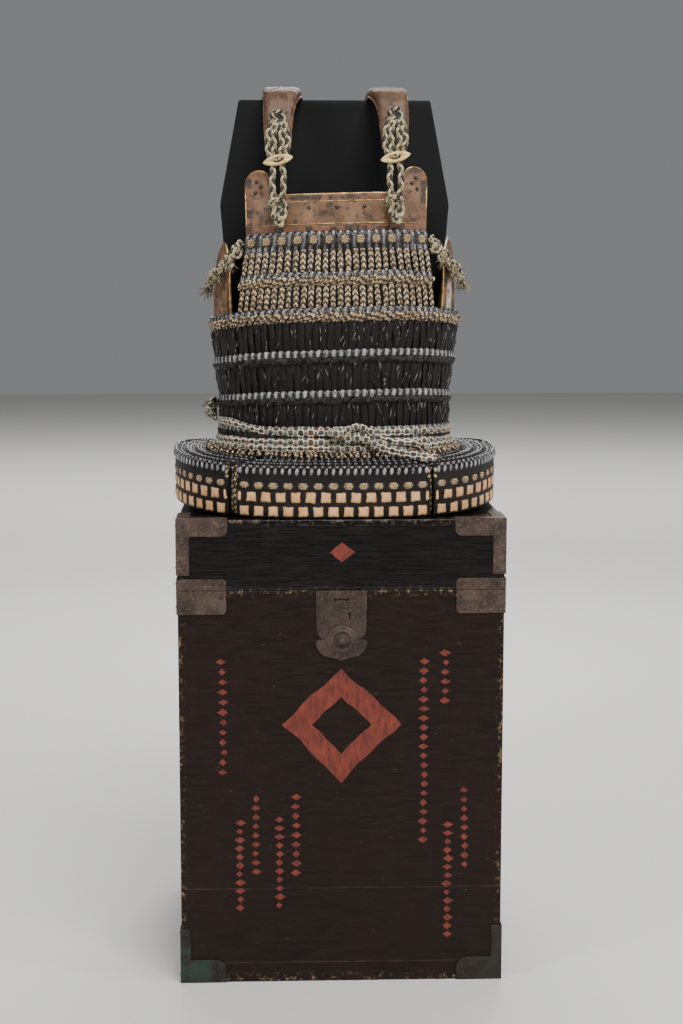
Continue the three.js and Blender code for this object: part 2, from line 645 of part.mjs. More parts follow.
function addShoulders() {
  for (const [side, label] of [[-1, "left"], [1, "right"]]) {
    add(armour, `shoulder_strap_${label}`, strapGeometry(side), leather);
    const cords = strapCords(side);
    add(armour, `strap_cord_upper_${label}`, cords.upper, creamCord);
    add(armour, `strap_cord_lower_${label}`, cords.lower, creamCord);
    const bar = add(armour, `toggle_${label}`, toggleGeometry(), bone);
    bar.position.copy(at(side * cord.x, cord.toggle.y, cord.toggle.h));
    bar.rotation.y = -toggle.tilt;
    add(armour, `side_tie_${label}`, sideTieGeometry(side), creamCord);
  }
  add(armour, "support_board", boardGeometry(), black);
}

function addSkirtAndBelt() {
  tassetSpans().forEach((span, i) => {
    add(armour, `tasset_hem_${tassetNames[i]}`, tassetHem(span), darkLace);
    add(armour, `tasset_stack_${tassetNames[i]}`, tassetStack(span), darkLace);
  });
  add(armour, "hanging_lace", hangingLaceGeometry(), tanLace);
  for (const turn of beltTurns) add(armour, turn.name, beltTurn(turn), beltCloth);
  const knotShare = shareAt(bodyPlan(beltKnot.h), beltKnot.x);
  const knot = ballOnBody(knotShare, beltKnot.h, beltKnot.out, beltKnot.size);
  add(armour, "belt_knot", joined(knot, ...beltEnds.map(beltEnd)), beltCloth);
  add(armour, "belt_bow", ballOnBody(beltBow.frac, beltBow.h, beltBow.out, beltBow.size), beltCloth);
}

addBox();
addBody();
addShoulders();
addSkirtAndBelt();

export default whole;
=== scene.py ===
import math
import bmesh
import bpy
import numpy as np
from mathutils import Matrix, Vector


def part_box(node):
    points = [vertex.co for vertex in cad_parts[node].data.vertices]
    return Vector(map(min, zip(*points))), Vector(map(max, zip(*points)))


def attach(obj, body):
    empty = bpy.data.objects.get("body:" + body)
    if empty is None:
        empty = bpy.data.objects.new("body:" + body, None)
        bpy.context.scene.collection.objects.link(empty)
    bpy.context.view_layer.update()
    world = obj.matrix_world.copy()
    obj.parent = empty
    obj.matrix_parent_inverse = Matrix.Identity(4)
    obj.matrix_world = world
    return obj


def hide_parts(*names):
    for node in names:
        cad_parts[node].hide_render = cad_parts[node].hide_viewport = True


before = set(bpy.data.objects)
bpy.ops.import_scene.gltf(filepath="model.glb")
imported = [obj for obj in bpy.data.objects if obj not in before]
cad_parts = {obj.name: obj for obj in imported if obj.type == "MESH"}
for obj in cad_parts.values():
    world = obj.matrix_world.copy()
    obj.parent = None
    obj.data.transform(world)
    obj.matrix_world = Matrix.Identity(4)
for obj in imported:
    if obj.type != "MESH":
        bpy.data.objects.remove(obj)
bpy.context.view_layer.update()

rng = np.random.default_rng(7)
mm = 0.001
fullTurn = 2 * np.pi

cameraSetup = {"place": (-0.0774, -2.4268, 0.916), "tilt": 82.5, "turn": -2.0, "lens": 61.7, "sensor": 36}
lightSetup = [  # soft boxes: name, where, what they look at, size, power
    {"name": "topBox", "at": (0.5, -1.6, 2.9), "look": (0, 0, 0.85), "size": (1.2, 0.9), "power": 78},
    {"name": "leftBox", "at": (-2.3, -2.0, 1.5), "look": (0, 0, 0.75), "size": (0.9, 1.4), "power": 42},
    {"name": "rightBox", "at": (2.5, -1.2, 1.3), "look": (0, 0, 0.75), "size": (0.8, 1.4), "power": 34},
    {"name": "floorBox", "at": (0, 5.0, 3.4), "look": (0, 4.2, 0), "size": (7, 2.5), "power": 260},
    {"name": "backBox", "at": (0.2, 2.4, 2.2), "look": (0, 0, 0.8), "size": (1.4, 1.0), "power": 60},
]
worldSetup = {"colour": (0.86, 0.88, 0.9, 1), "strength": 0.24}


def addCamera(setup):
    data = bpy.data.cameras.new("camera")
    data.lens, data.sensor_width = setup["lens"], setup["sensor"]
    camera = bpy.data.objects.new("camera", data)
    camera.location = setup["place"]
    camera.rotation_euler = (math.radians(setup["tilt"]), 0, math.radians(setup["turn"]))
    bpy.context.collection.objects.link(camera)
    bpy.context.scene.camera = camera


def addLight(setup):
    data = bpy.data.lights.new(setup["name"], "AREA")
    data.shape, (data.size, data.size_y) = "RECTANGLE", setup["size"]
    data.energy = setup["power"]
    light = bpy.data.objects.new(setup["name"], data)
    aim = np.array(setup["look"]) - np.array(setup["at"])
    flat = math.hypot(aim[0], aim[1])
    light.location = setup["at"]
    light.rotation_euler = (math.pi / 2 + math.atan2(aim[2], flat), 0, math.atan2(-aim[0], aim[1]))
    light.visible_camera = light.visible_glossy = setup["name"] != "floorBox"
    bpy.context.collection.objects.link(light)


def addWorld(setup):
    world = bpy.data.worlds.new("studio")
    world.use_nodes = True
    background = world.node_tree.nodes["Background"]
    background.inputs["Color"].default_value = setup["colour"]
    background.inputs["Strength"].default_value = setup["strength"]
    bpy.context.scene.world = world


addCamera(cameraSetup)
for lamp in lightSetup:
    addLight(lamp)
addWorld(worldSetup)
print("camera and light ready")


def linear(hexColour):
    # sRGB hex to linear: below 0.04045 divide by 12.92, above ((c + 0.055) / 1.055) ^ 2.4
    c = np.array([int(hexColour[i:i + 2], 16) / 255 for i in (1, 3, 5)])
    c = np.where(c <= 0.04045, c / 12.92, ((c + 0.055) / 1.055) ** 2.4)
    return (*c.tolist(), 1.0)


# plain word: type of node, its sockets or settings in order and their starts, its output, what is fixed
nodeForms = {
    "mix": ("Mix", {0: None, 6: None, 7: None}, 2, {"data_type": "RGBA"}),
    "ramp": ("MapRange", {"Value": None, "From Min": 0, "From Max": 1, "To Min": 0, "To Max": 1}, 0, {}),
    "noise": ("TexNoise", {"Vector": None, "Scale": None, "Detail": 3.0, "Roughness": 0.55}, 0, {}),
    "cells": ("TexVoronoi", {"Vector": None, "Scale": None, "Randomness": 1.0}, "Distance", {}),
    "stretch": ("Mapping", {"Vector": None, "Scale": None}, 0, {}),
    "turn": ("Mapping", {"Vector": None, "Rotation": None}, 0, {}),
    "distance": ("VectorMath", {0: None}, "Value", {"operation": "LENGTH"}),
    "parts": ("SeparateXYZ", {"Vector": None}, "X", {}),
    "hues": ("SeparateColor", {"Color": None}, "Red", {}),
    "bump": ("Bump", {"Height": None, "Distance": None, "Strength": 1.0}, 0, {}),
    "painted": ("Attribute", {"attribute_name": None}, "Fac", {}),
    "cloth": ("UVMap", {}, 0, {"uv_map": "cloth"}),
    "place": ("TexCoord", {}, "Object", {}),
}


def startMaterial(name, slot, roughness, metallic=0.0, **starts):
    # hands back what adds a node, what ends the material, and the coordinates of the object
    made = bpy.data.materials.new(name)
    made.use_nodes = True
    tree = made.node_tree
    shader = tree.nodes["Principled BSDF"]
    for socket, value in {"Roughness": roughness, "Metallic": metallic, **starts}.items():
        shader.inputs[socket].default_value = value

    def add(word, *values, **settings):
        # a word not in the table is a sum; hex text is a colour; a plain scale is a feature's size in mm
        sumForm = ("Math", {0: None, 1: None}, 0, {"operation": word.upper()})
        kind, sockets, output, fixed = nodeForms.get(word, sumForm)
        node = tree.nodes.new("ShaderNode" + kind)
        for key, value in {**fixed, **settings}.items():
            setattr(node, key, value)
        for socket, value in {**sockets, **dict(zip(sockets, values))}.items():
            if isinstance(value, bpy.types.NodeSocket):
                tree.links.new(value, node.inputs[socket])
            elif hasattr(node, str(socket)):
                setattr(node, socket, value)
            elif value is not None:
                value = 1 / (value * mm) if socket == "Scale" and np.isscalar(value) else value
                node.inputs[socket].default_value = linear(value) if isinstance(value, str) else value
        return node.outputs[output]

    def finish(colour, relief=None, deep=0.0, **links):
        # the relief is deep millimetres high
        if relief:
            links["Normal"] = add("bump", relief, deep * mm)
        for socket, value in {"Base Color": colour, **links}.items():
            tree.links.new(value, shader.inputs[socket])
        return made, slot
    return add, finish, add("place")


def addPiece(name, mesh, finish, node=None):
    # a mesh becomes a piece: its finish and the node of the solid whose place it takes; the finish's slot is
    # not used
    made, slot = finish
    mesh.materials.clear()
    mesh.materials.append(made)
    piece = bpy.data.objects.new(name, mesh)
    bpy.context.collection.objects.link(piece)
    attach(piece, "root")
    if node:
        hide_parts(node)
    return piece


def putAttribute(mesh, key, values):
    mesh.attributes.new(key, "FLOAT", "POINT").data.foreach_set("value", np.asarray(values, float).ravel())


def putMesh(name, finish, points, quads, tris=None, uv=None, node=None, **attributes):
    quads = np.asarray(quads, dtype=np.int32).reshape(-1, 4)
    tris = np.zeros((0, 3), np.int32) if tris is None else np.asarray(tris, dtype=np.int32).reshape(-1, 3)
    points = np.asarray(points, dtype=float).reshape(-1, 3)
    a, b, c = points[np.concatenate([quads[:, [0, 1, 2]], quads[:, [0, 2, 3]], tris]).T]
    if np.einsum("ij,ij->", a, np.cross(b, c)) < 0:  # signed volume: turn all faces to point out
        quads, tris = quads[:, ::-1], tris[:, ::-1]
    mesh = bpy.data.meshes.new(name)
    mesh.vertices.add(len(points))
    mesh.vertices.foreach_set("co", points.ravel())
    loops = np.concatenate([quads.ravel(), tris.ravel()])
    sizes = np.repeat([4, 3], [len(quads), len(tris)])
    mesh.loops.add(len(loops))
    mesh.loops.foreach_set("vertex_index", loops)
    mesh.polygons.add(len(sizes))
    mesh.polygons.foreach_set("loop_start", np.cumsum(sizes) - sizes)
    mesh.polygons.foreach_set("use_smooth", np.ones(len(sizes), bool))
    mesh.update(calc_edges=True)
    if uv is not None:
        layer = mesh.uv_layers.new(name="cloth")
        layer.data.foreach_set("uv", np.asarray(uv, dtype=float).reshape(-1, 2)[loops].ravel())
    for key, values in attributes.items():
        putAttribute(mesh, key, values)
    return addPiece(name, mesh, finish, node)


def stacked(*parts):
    # coordinates side by side as points, each first spread to the shape of all
    return np.stack(np.broadcast_arrays(*parts), -1)


def gridFaces(rows, columns, closeRows=False, closeColumns=False):
    i, j = np.meshgrid(np.arange(rows - 1 + closeRows), np.arange(columns - 1 + closeColumns), indexing="ij")
    ni, nj = (i + 1) % rows, (j + 1) % columns
    return stacked(i * columns + j, i * columns + nj, ni * columns + nj, ni * columns + j).reshape(-1, 4)


def fan(ring, centre):
    return stacked(np.full(len(ring), centre), ring, np.roll(ring, -1))


def tubeFaces(rows, columns, copies=1):
    # rings joined in a tube whose ends close on the last two points, repeated for each copy
    ring = np.arange(columns)
    base = rows * columns
    quads = gridFaces(rows, columns, closeColumns=True)
    tris = np.concatenate([fan(ring[::-1], base), fan(base - columns + ring, base + 1)])
    shift = (np.arange(copies) * (base + 2))[:, None, None]
    return (quads + shift).reshape(-1, 4), (tris + shift).reshape(-1, 3)


def loft(name, finish, rings, uv=None, node=None, **attributes):
    # closed section rings (rows, columns, 3) carried along; both ends shut by a fan to their middle
    rows, columns = rings.shape[:2]

    def ends(values):
        values = np.asarray(values, float).reshape(rows, columns, -1)
        return np.concatenate([values.reshape(rows * columns, -1), values[[0, -1]].mean(axis=1)])
    attributes = {key: ends(values) for key, values in attributes.items()}
    uv = None if uv is None else ends(uv)
    return putMesh(name, finish, ends(rings), *tubeFaces(rows, columns), uv, node, **attributes)


def unit(v):
    return v / np.maximum(np.linalg.norm(v, axis=-1, keepdims=True), 1e-12)


def lengthAlong(path):
    # how far along its path each point lies; paths run over the last axis but one
    steps = np.linalg.norm(np.diff(path, axis=-2), axis=-1)
    return np.concatenate([0 * steps[..., :1], np.cumsum(steps, axis=-1)], -1)


def rounded(angle, square):
    # cos and sin of the angle to the power 2 / square, each sign kept: a rounded box, |u|^s + |v|^s = 1
    return (np.sign(q) * np.abs(q) ** (2 / square) for q in (np.cos(angle), np.sin(angle)))


def strandMesh(name, finish, path, outward, halfWidth, halfThick, around=8, square=2.0, tone=None, glint=0.0,
               node=None):
    # many tubes at once along paths (n, m, 3) in metres; section |u/w|^s + |v/t|^s = 1 in mm, across and out
    n, m = path.shape[:2]
    tangent = unit(np.gradient(path, axis=1))
    side = unit(np.cross(tangent, outward))
    normal = np.cross(side, tangent)
    cu, cv = (q[:, None] for q in rounded(np.arange(around) / around * fullTurn, square))
    w, t = (np.broadcast_to(np.asarray(q) * mm, (n, m))[..., None, None] for q in (halfWidth, halfThick))
    body = path[:, :, None] + side[:, :, None] * w * cu + normal[:, :, None] * t * cv
    points = np.concatenate([body.reshape(n, -1, 3), path[:, [0, -1]]], axis=1)
    along = lengthAlong(path) + rng.uniform(0, 0.02, (n, 1))
    uv = stacked((w * cu)[..., 0], np.broadcast_to(along[:, :, None], (n, m, around))).reshape(n, -1, 2)
    uv = np.concatenate([uv, stacked(np.zeros((n, 2)), along[:, [0, -1]])], axis=1)
    tone = rng.uniform(0, 1, n) if tone is None else np.broadcast_to(tone, n)
    tone = np.repeat(tone, points.shape[1])
    return putMesh(name, finish, points, *tubeFaces(m, around, n), uv, node, tone=tone,
                   glint=np.full(len(tone), glint))


def smoothPath(knots, count):
    # centripetal Catmull-Rom: each span blends three linear moves, knots spaced by the root of their distance
    p = np.asarray(knots, float)
    p = np.concatenate([[2 * p[0] - p[1]], p, [2 * p[-1] - p[-2]]])
    s = np.concatenate([[0], np.cumsum(np.sqrt(np.linalg.norm(np.diff(p[:, :3], axis=0), axis=1)))])
    t = np.linspace(s[1], s[-2], count)
    i = np.clip(np.searchsorted(s, t, side="right") - 1, 1, len(p) - 3)
    t, s0, s1, s2, s3 = (q[:, None] for q in (t, s[i - 1], s[i], s[i + 1], s[i + 2]))
    a1 = p[i - 1] * (s1 - t) / (s1 - s0) + p[i] * (t - s0) / (s1 - s0)
    a2 = p[i] * (s2 - t) / (s2 - s1) + p[i + 1] * (t - s1) / (s2 - s1)
    a3 = p[i + 1] * (s3 - t) / (s3 - s2) + p[i + 2] * (t - s2) / (s3 - s2)
    b1 = a1 * (s2 - t) / (s2 - s0) + a2 * (t - s0) / (s2 - s0)
    b2 = a2 * (s3 - t) / (s3 - s1) + a3 * (t - s1) / (s3 - s1)
    return b1 * (s2 - t) / (s2 - s1) + b2 * (t - s1) / (s2 - s1)


def smoothStep(v, low, high):
    t = np.clip((v - low) / (high - low), 0, 1)
    return t * t * (3 - 2 * t)


def wobble(v, seed, waves=5):
    # a smooth random line: a sum of sines with seeded rates and starts
    r = np.random.default_rng(seed)
    rate, start, size = r.uniform(0.6, 3.4, waves), r.uniform(0, 6.3, waves), r.uniform(0.4, 1, waves)
    return (np.sin(np.asarray(v)[..., None] * rate + start) * size).sum(-1) / size.sum()


def floats(*values):
    return np.broadcast_arrays(*(np.asarray(v, float) for v in values))


def mirrored(half):
    # a run of values from 0 upwards, led by the same run below 0
    return np.concatenate([-half[:0:-1], half])


# the armour's own surface, in millimetres: height above the lid, and how far out from the plan
lidTop = (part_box("box_lid")[1][2]) / mm + 0.3
armourX = -3.0
bodyForm = {
    "h": [60, 112, 156, 206, 252, 300, 370, 450, 520],
    "a": [155, 154.5, 155, 160.5, 165.5, 165.5, 160, 156, 153],
    "b": [122, 121, 121, 124, 127, 127, 121, 112, 106],
    "n": [2.4, 2.4, 2.4, 2.4, 2.4, 2.6, 3.0, 3.2, 3.2],
}
hang = {"from": 90, "to": 170, "halfWidth": 168, "sideDrop": 11, "slant": 4.5}
skirtForm = {"h": (0, 1), "a": (162, 218), "b": (129, 205), "n": (2.4, 2.7), "sideLift": 10}
# where the rows overlap, as shares of a turn
wrap = {"edge": -0.158, "slit": 0.003, "step": 3.0, "ramp": 0.09}
levelStep, planSamples = 4.0, 1440


def planAt(form, h):
    return [np.interp(h, form["h"], form[k]) for k in "abn"]


def planTables(form, levels):
    # each level is |x/a|^n + |y/b|^n = 1, walked by its length from the front middle towards +x
    t = np.linspace(0, fullTurn, 2 * planSamples + 1)
    shares = np.linspace(0, 1, planSamples + 1)
    rows = []
    for a, b, n in zip(*planAt(form, levels)):
        y, x = (size * q for size, q in zip((-b, a), rounded(t, n)))
        length = np.concatenate([[0], np.cumsum(np.hypot(np.diff(x), np.diff(y)))])
        rows.append([*(np.interp(shares * length[-1], length, q) for q in (x, y)), length[-1]])
    return [np.array(q) for q in zip(*rows)]


def offset(x, y, a, b, n, out):
    # a step of length out along the plan curve's own normal
    nx = np.sign(x) * np.abs(x / a) ** (n - 1) / a
    ny = np.sign(y) * np.abs(y / b) ** (n - 1) / b
    k = out / np.hypot(nx, ny)
    return x + nx * k, y + ny * k


def planPoint(tables, form, h, level, share, out):
    # bilinear look-up in the tables, then the step out
    columns = tables[0].shape[1]
    i = np.clip(level, 0, len(tables[0]) - 1.0001)
    j = (share - np.floor(share)) * (columns - 1)
    i0, j0 = i.astype(int), np.minimum(j.astype(int), columns - 2)
    fi, fj = i - i0, j - j0

    def look(t):
        return ((t[i0, j0] * (1 - fj) + t[i0, j0 + 1] * fj) * (1 - fi)
                + (t[i0 + 1, j0] * (1 - fj) + t[i0 + 1, j0 + 1] * fj) * fi)
    return offset(look(tables[0]), look(tables[1]), *planAt(form, h), out)


bodyLevels = np.arange(50, 530, levelStep)
bodyTables = planTables(bodyForm, bodyLevels)
skirtLevels = np.linspace(0, 1, 41)
skirtTables = planTables(skirtForm, skirtLevels)


def hung(x, h):
    # the low rows hang lower at the sides and slant a little
    k = x / hang["halfWidth"]
    return h + smoothStep(h, hang["from"], hang["to"]) * (hang["slant"] * k - hang["sideDrop"] * k ** 4)


def placed(x, y, h):
    # from the armour's own millimetres to the frame's metres
    x, y, h = np.broadcast_arrays(x, y, h)
    return stacked((x + armourX) * mm, y * mm, (h + lidTop) * mm)


def placedPath(path):
    return placed(*np.moveaxis(np.asarray(path, float), -1, 0))


def bodyPoint(share, h, out):
    # round the body: share 0 is the front middle, 0.25 the wearer's left side
    share, h, out = floats(share, h, out)
    x, y = planPoint(bodyTables, bodyForm, h, (h - bodyLevels[0]) / levelStep, share, out)
    return placed(x, y, hung(x, h))


def facePoint(x, h, out, back=False):
    # straight from x: the front (or back) of the body's plan at height h
    x, h, out = floats(x, h, out)
    a, b, n = planAt(bodyForm, h)
    y = -b * (1 - np.minimum(np.abs(x / a), 0.999) ** n) ** (1 / n)
    px, py = offset(np.where(x == 0, 1e-9, x), y, a, b, n, out)
    return placed(px, -py if back else py, hung(px, h))


def skirtLift(x):
    return skirtForm["sideLift"] * np.minimum(1, np.abs(x) / skirtForm["a"][1]) ** 4


def skirtPoint(turn, way, h, out):
    # round the skirt; way 0 is at the waist and 1 at the outer wall
    turn, way, h, out = floats(turn, way, h, out)
    x, y = planPoint(skirtTables, skirtForm, way, way * (len(skirtLevels) - 1), turn, out)
    return placed(x, y, h + skirtLift(x))


def shareOf(xs, x):
    # how far round a level of the plan the front reaches x, as a share of its length
    quarter = planSamples // 4
    return math.copysign(np.interp(abs(x), xs[:quarter], np.linspace(0, 1, planSamples + 1)[:quarter]), x)


def openingStep(share):
    # the wrap-over at the wearer's right side: the rear edge goes in under the front one
    return -wrap["step"] * smoothStep(share - wrap["edge"], 1 - wrap["ramp"], 1)


print("frame and surfaces ready")


def urushiScales():
    # black urushi lacquer over iron and rawhide scales: brushed, deep and glossy, pale grey on the crests,
    # partly rubbed lacquer and partly a painted highlight
    add, finish, at = startMaterial("urushi lacquered scales", "scale_lacquer", 0.22,
                                    **{"Coat Weight": 0.35, "Coat Roughness": 0.12})
    wearAndHighlightPatches = add("ramp", add("noise", at, 6.0), 0.3, 0.48)
    worn = add("multiply", add("painted", "worn"), wearAndHighlightPatches)
    # painted highlight, partly real wear: the black turns pale grey in patches where worn is set
    ground = add("mix", worn, add("mix", add("noise", at, 14.0), "#0a0808", "#1c1512"), "#b5b4b6")
    inner = add("multiply", add("painted", "inner"), 0.34)  # the backs of the scales are duller
    links = {"Roughness": add("add", add("ramp", add("noise", at, 3.0), 0.3, 0.7, 0.16, 0.4), inner),
             "Coat Weight": add("subtract", 0.35, inner)}
    return finish(ground, add("noise", at, 2.4), 0.25, **links)


def braidPattern(add, plyMm, stray=None):
    # flat braid: chevrons whose arms run back from the middle line, pulled about by stray; uv in metres
    uv = add("cloth")
    parts = add("parts", uv).node.outputs
    across = add("absolute", parts["X"])
    along = add("subtract", parts["Y"], across)
    if stray is not None:
        along = add("add", along, add("multiply", stray, 6 * mm))
    wave = add("sine", add("multiply", along, fullTurn / (plyMm * mm)))
    return uv, across, add("ramp", wave, -1, 1)


def layered(add, ground, layers):
    # each layer covers the ones below it by its amount
    for amount, colour in layers:
        ground = add("mix", amount, ground, colour)
    return ground


def darkBraid():
    # indigo-black silk kebiki lacing: flat braid, faded brown in places, with painted shade between its plies
    # and in its middle groove, and a painted highlight of pale grey on loose floss where glint is set
    add, finish, at = startMaterial("faded indigo silk braid", "dark_lacing", 0.5,
                                    **{"Sheen Weight": 0.02, "Specular IOR Level": 0.22})
    uv, across, ply = braidPattern(add, 2.2)
    streak = add("noise", add("stretch", uv, (1.0, 0.12, 1.0)), 0.9, 4.0, 0.7)
    middle = add("ramp", add("add", across, add("multiply", streak, 0.6 * mm)), 0.45 * mm, 1.1 * mm)
    shine = add("ramp", add("noise", at, 5.0, 2.0), 0.42, 0.6)
    ground = layered(add, add("mix", add("painted", "tone"), "#0e0b0c", "#191210"), [
        (add("ramp", add("noise", at, 26.0), 0.45, 0.7), "#211814"),
        (add("ramp", streak, 0.58, 0.7), "#5c5048"),
        (add("ramp", streak, 0.48, 0.36), "#080708"),
        # painted shade: near black between the plies, where the relief is low
        (add("ramp", ply, 0.0, 1.0, 0.4, 0.0), "#060506"),
        (add("ramp", middle, 0.0, 1.0, 0.85, 0.0), "#040304"),  # painted shade in the groove down its middle
        # painted highlight: pale grey where glint is set, in patches by shine
        (add("multiply", add("painted", "glint"), shine), "#9a948f")])
    return finish(ground, add("add", add("add", streak, add("multiply", ply, 0.5)), middle), 0.6)


def paleBraid():
    # multicoloured silk braid: ivory and tan plies speckled with brown and dark green, the dye faded; the
    # pale speckles are partly ivory floss and partly a painted highlight, and painted shade lies between the
    # plies
    add, finish, at = startMaterial("speckled tan silk braid", "pale_lacing", 0.6, **{"Sheen Weight": 0.08})
    uv, _, ply = braidPattern(add, 7.4, add("noise", at, 4.5))
    tone = add("ramp", add("painted", "tone"), 0.1, 0.9)
    speck = add("noise", add("stretch", uv, (1.0, 0.3, 1.0)), 2.3, 3.0, 0.7)
    ground = layered(add, add("mix", tone, "#7d6242", "#a98a60"), [
        # pale speckles on the raised floss: partly ivory silk, partly a painted highlight
        (add("ramp", speck, 0.49, 0.58), "#ead7ae"),
        (add("ramp", add("noise", at, 7.0, 2.0), 0.5, 0.66, 0.0, 0.7), "#4a3624"),
        # painted shade: dark brown between the plies, where the relief is low
        (add("ramp", ply, 0.55, 0.3), "#2e2016"),
        (add("ramp", speck, 0.44, 0.36), "#171310")])
    return finish(ground, add("add", add("multiply", ply, 0.8), speck), 0.6)


def roundBraid():
    # plaited silk cord: cream strands and a dark green one by their tone, with the fine twist of the floss,
    # and painted shade between its plies
    add, finish, at = startMaterial("plaited silk cord", "braid", 0.55, **{"Sheen Weight": 0.08})
    _, _, ply = braidPattern(add, 1.6)
    tone = add("painted", "tone")
    ground = layered(add, add("mix", add("noise", at, 4.0), "#a8946a", "#e6d9b4"), [
        (add("ramp", tone, 0.15, 0.4, 0.0, 0.8), "#6d5c36"),
        (add("ramp", tone, 0.6, 0.8), "#1b1d17"),
        # painted shade: darker between the plies, where the relief is low
        (add("ramp", ply, 0.0, 1.0, 0.35, 0.0), "#4a4230")])
    return finish(ground, ply, 0.3)


def smokedLeather():
    # smoked deerskin with a worn stencilled pattern: small cloudy patches of dark and of rust on brown
    add, finish, at = startMaterial("smoked stencilled deerskin", "leather", 0.58)
    mark, broken = add("cells", at, 11.0, 0.85), add("noise", at, 6.0, 4.0)
    rust = add("multiply", add("ramp", mark, 0.42, 0.3), add("ramp", broken, 0.47, 0.58))
    dark = add("multiply", add("ramp", mark, 0.44, 0.62), add("ramp", add("noise", at, 9.0, 4.0), 0.48, 0.6))
    spot = add("cells", at, 10.0, 0.45).node.outputs["Color"]
    patch = add("mix", add("ramp", add("hues", spot), 0.45, 0.55), "#7a4a2f", "#241812")
    patch = add("mix", add("ramp", broken, 0.5, 0.62), patch, "#5a4332")
    soot = add("ramp", add("noise", at, 15.0, 4.0), 0.3, 0.6, 0.25, 0.8)
    bare = add("multiply", add("painted", "bare"), add("ramp", add("noise", at, 12.0, 4.0), 0.32, 0.5))
    scuff = add("ramp", add("noise", at, 3.0, 5.0, 0.7), 0.58, 0.72)
    clouds = add("ramp", add("noise", at, 22.0, 4.0), 0.3, 0.7)
    ground = layered(add, add("mix", clouds, "#46301f", "#846347"), [
        (add("multiply", rust, 0.5), "#7c4a2b"),
        (add("multiply", dark, 0.8), "#20150f"),
        (add("multiply", add("painted", "edge"), 0.85), patch),  # the stencilled border, and its dirt
        (add("multiply", add("painted", "sooty"), soot), "#3a2513"),
        (add("multiply", bare, 0.85), "#c9c2b4"),
        (add("multiply", scuff, 0.5), "#b4946a")])
    grain = add("add", add("multiply", add("cells", at, 1.3), 0.35), add("noise", at, 9.0))
    return finish(ground, grain, 0.7, Roughness=add("ramp", broken, 0.3, 0.7, 0.48, 0.72))


def giltRim():
    # gilt copper rim, the gilding thin and brown in the hollows
    add, finish, at = startMaterial("worn gilt copper", "gilt_rim", 0.36, 0.85)
    return finish(add("mix", add("ramp", add("noise", at, 8.0), 0.35, 0.65), "#8a6738", "#d8b878"),
                  Roughness=add("ramp", add("noise", at, 5.0), 0.3, 0.7, 0.28, 0.5))


def silverRim():
    # tin or silver foil binding, dulled
    add, finish, at = startMaterial("dull silvered binding", "gilt_rim", 0.4, 0.7)
    return finish(add("mix", add("ramp", add("noise", at, 6.0), 0.4, 0.65), "#8f8a80", "#dedbd2"))


def darkIron():
    # forged iron nails, oiled black
    add, finish, at = startMaterial("blackened forged iron", "iron", 0.38, 0.9)
    return finish(add("mix", add("noise", at, 2.0), "#2b2927", "#5c5854"))


def forgedIron():
    # wrought iron box fittings: brown oxide skin, pitted, a little verdigris where copper was used
    add, finish, at = startMaterial("patinated wrought iron", "iron", 0.62, 0.35)
    broad, fine = add("noise", at, 26.0, 4.0), add("noise", at, 3.4, 5.0, 0.7)
    green = add("multiply", add("painted", "verdigris"), add("ramp", broad, 0.42, 0.6, 0.0, 0.6))
    ground = layered(add, add("mix", add("ramp", broad, 0.35, 0.65), "#382c25", "#57463b"), [
        (add("ramp", fine, 0.55, 0.72), "#78665a"),
        (add("ramp", fine, 0.44, 0.32), "#241b15"),
        # darker where the attribute is set: the foot irons most, the lock plate and its boss less
        (add("multiply", add("painted", "sooty"), 0.72), "#17120e"),
        (green, "#27443d")])
    return finish(ground, fine, 0.35, Roughness=add("ramp", fine, 0.3, 0.7, 0.5, 0.78))


def beltPrint():
    # soft cotton printed with rows of small rings, filled grey-brown, teal and rust; the uv is in metres
    add, finish, at = startMaterial("printed cotton belt", "belt_cloth", 0.85, **{"Sheen Weight": 0.08})
    uv = add("cloth")
    ring = add("cells", add("turn", uv, (0, 0, math.pi / 4)), 9.4, 0.06, voronoi_dimensions="2D")
    pick = add("hues", ring.node.outputs["Color"]).node.outputs
    fill = add("mix", add("ramp", pick["Red"], 0.5, 0.58), "#4a4344", "#3a3532")
    between = add("mix", add("ramp", add("noise", at, 9.0), 0.5, 0.6), "#22575a", "#7c4630")
    ground = layered(add, fill, [
        (add("ramp", pick["Green"], 0.8, 0.84), "#54382c"),
        (add("ramp", ring, 0.37, 0.41), "#dccfae"),
        (add("ramp", ring, 0.5, 0.54), between),
        (add("multiply", add("ramp", add("noise", at, 22.0), 0.5, 0.68), 0.4), "#6f6b62")])
    return finish(ground, add("noise", add("stretch", uv, (1.0, 3.0, 1.0)), 1.1, 2.0), 0.3)


def carvedBone():
    # polished bone, yellow in the pores
    add, finish, at = startMaterial("polished bone", "bone", 0.4, **{"Subsurface Weight": 0.08})
    grain = add("noise", add("stretch", at, (0.3, 1.0, 1.0)), 2.5, 4.0)
    return finish(add("mix", add("ramp", grain, 0.4, 0.65), "#c09a56", "#fbe3a8"), grain, 0.2)


def buffLeather():
    # pale buff leather pads on the hem, soft and napped, darker along their edges
    add, finish, at = startMaterial("buff leather pads", "pale_leather", 0.78, **{"Sheen Weight": 0.2})
    ground = layered(add, add("mix", add("ramp", add("noise", at, 16.0), 0.35, 0.65), "#c9965f", "#e2b27c"), [
        (add("ramp", add("noise", at, 2.6, 4.0), 0.56, 0.7), "#a87646"),
        # darker towards each pad's rim and its sunk back, where the edge attribute is set
        (add("multiply", add("painted", "edge"), 0.7), "#6d4527")])
    return finish(ground, add("noise", at, 1.4, 4.0), 0.3)


def rubbedThrough(add, at, low):
    # where the lacquer is rubbed off: by the worn attribute, broken up by a fine noise
    broken = add("ramp", add("noise", at, 7.0, 6.0, 0.7), low, 0.62)
    return add("multiply", add("painted", "worn"), broken)


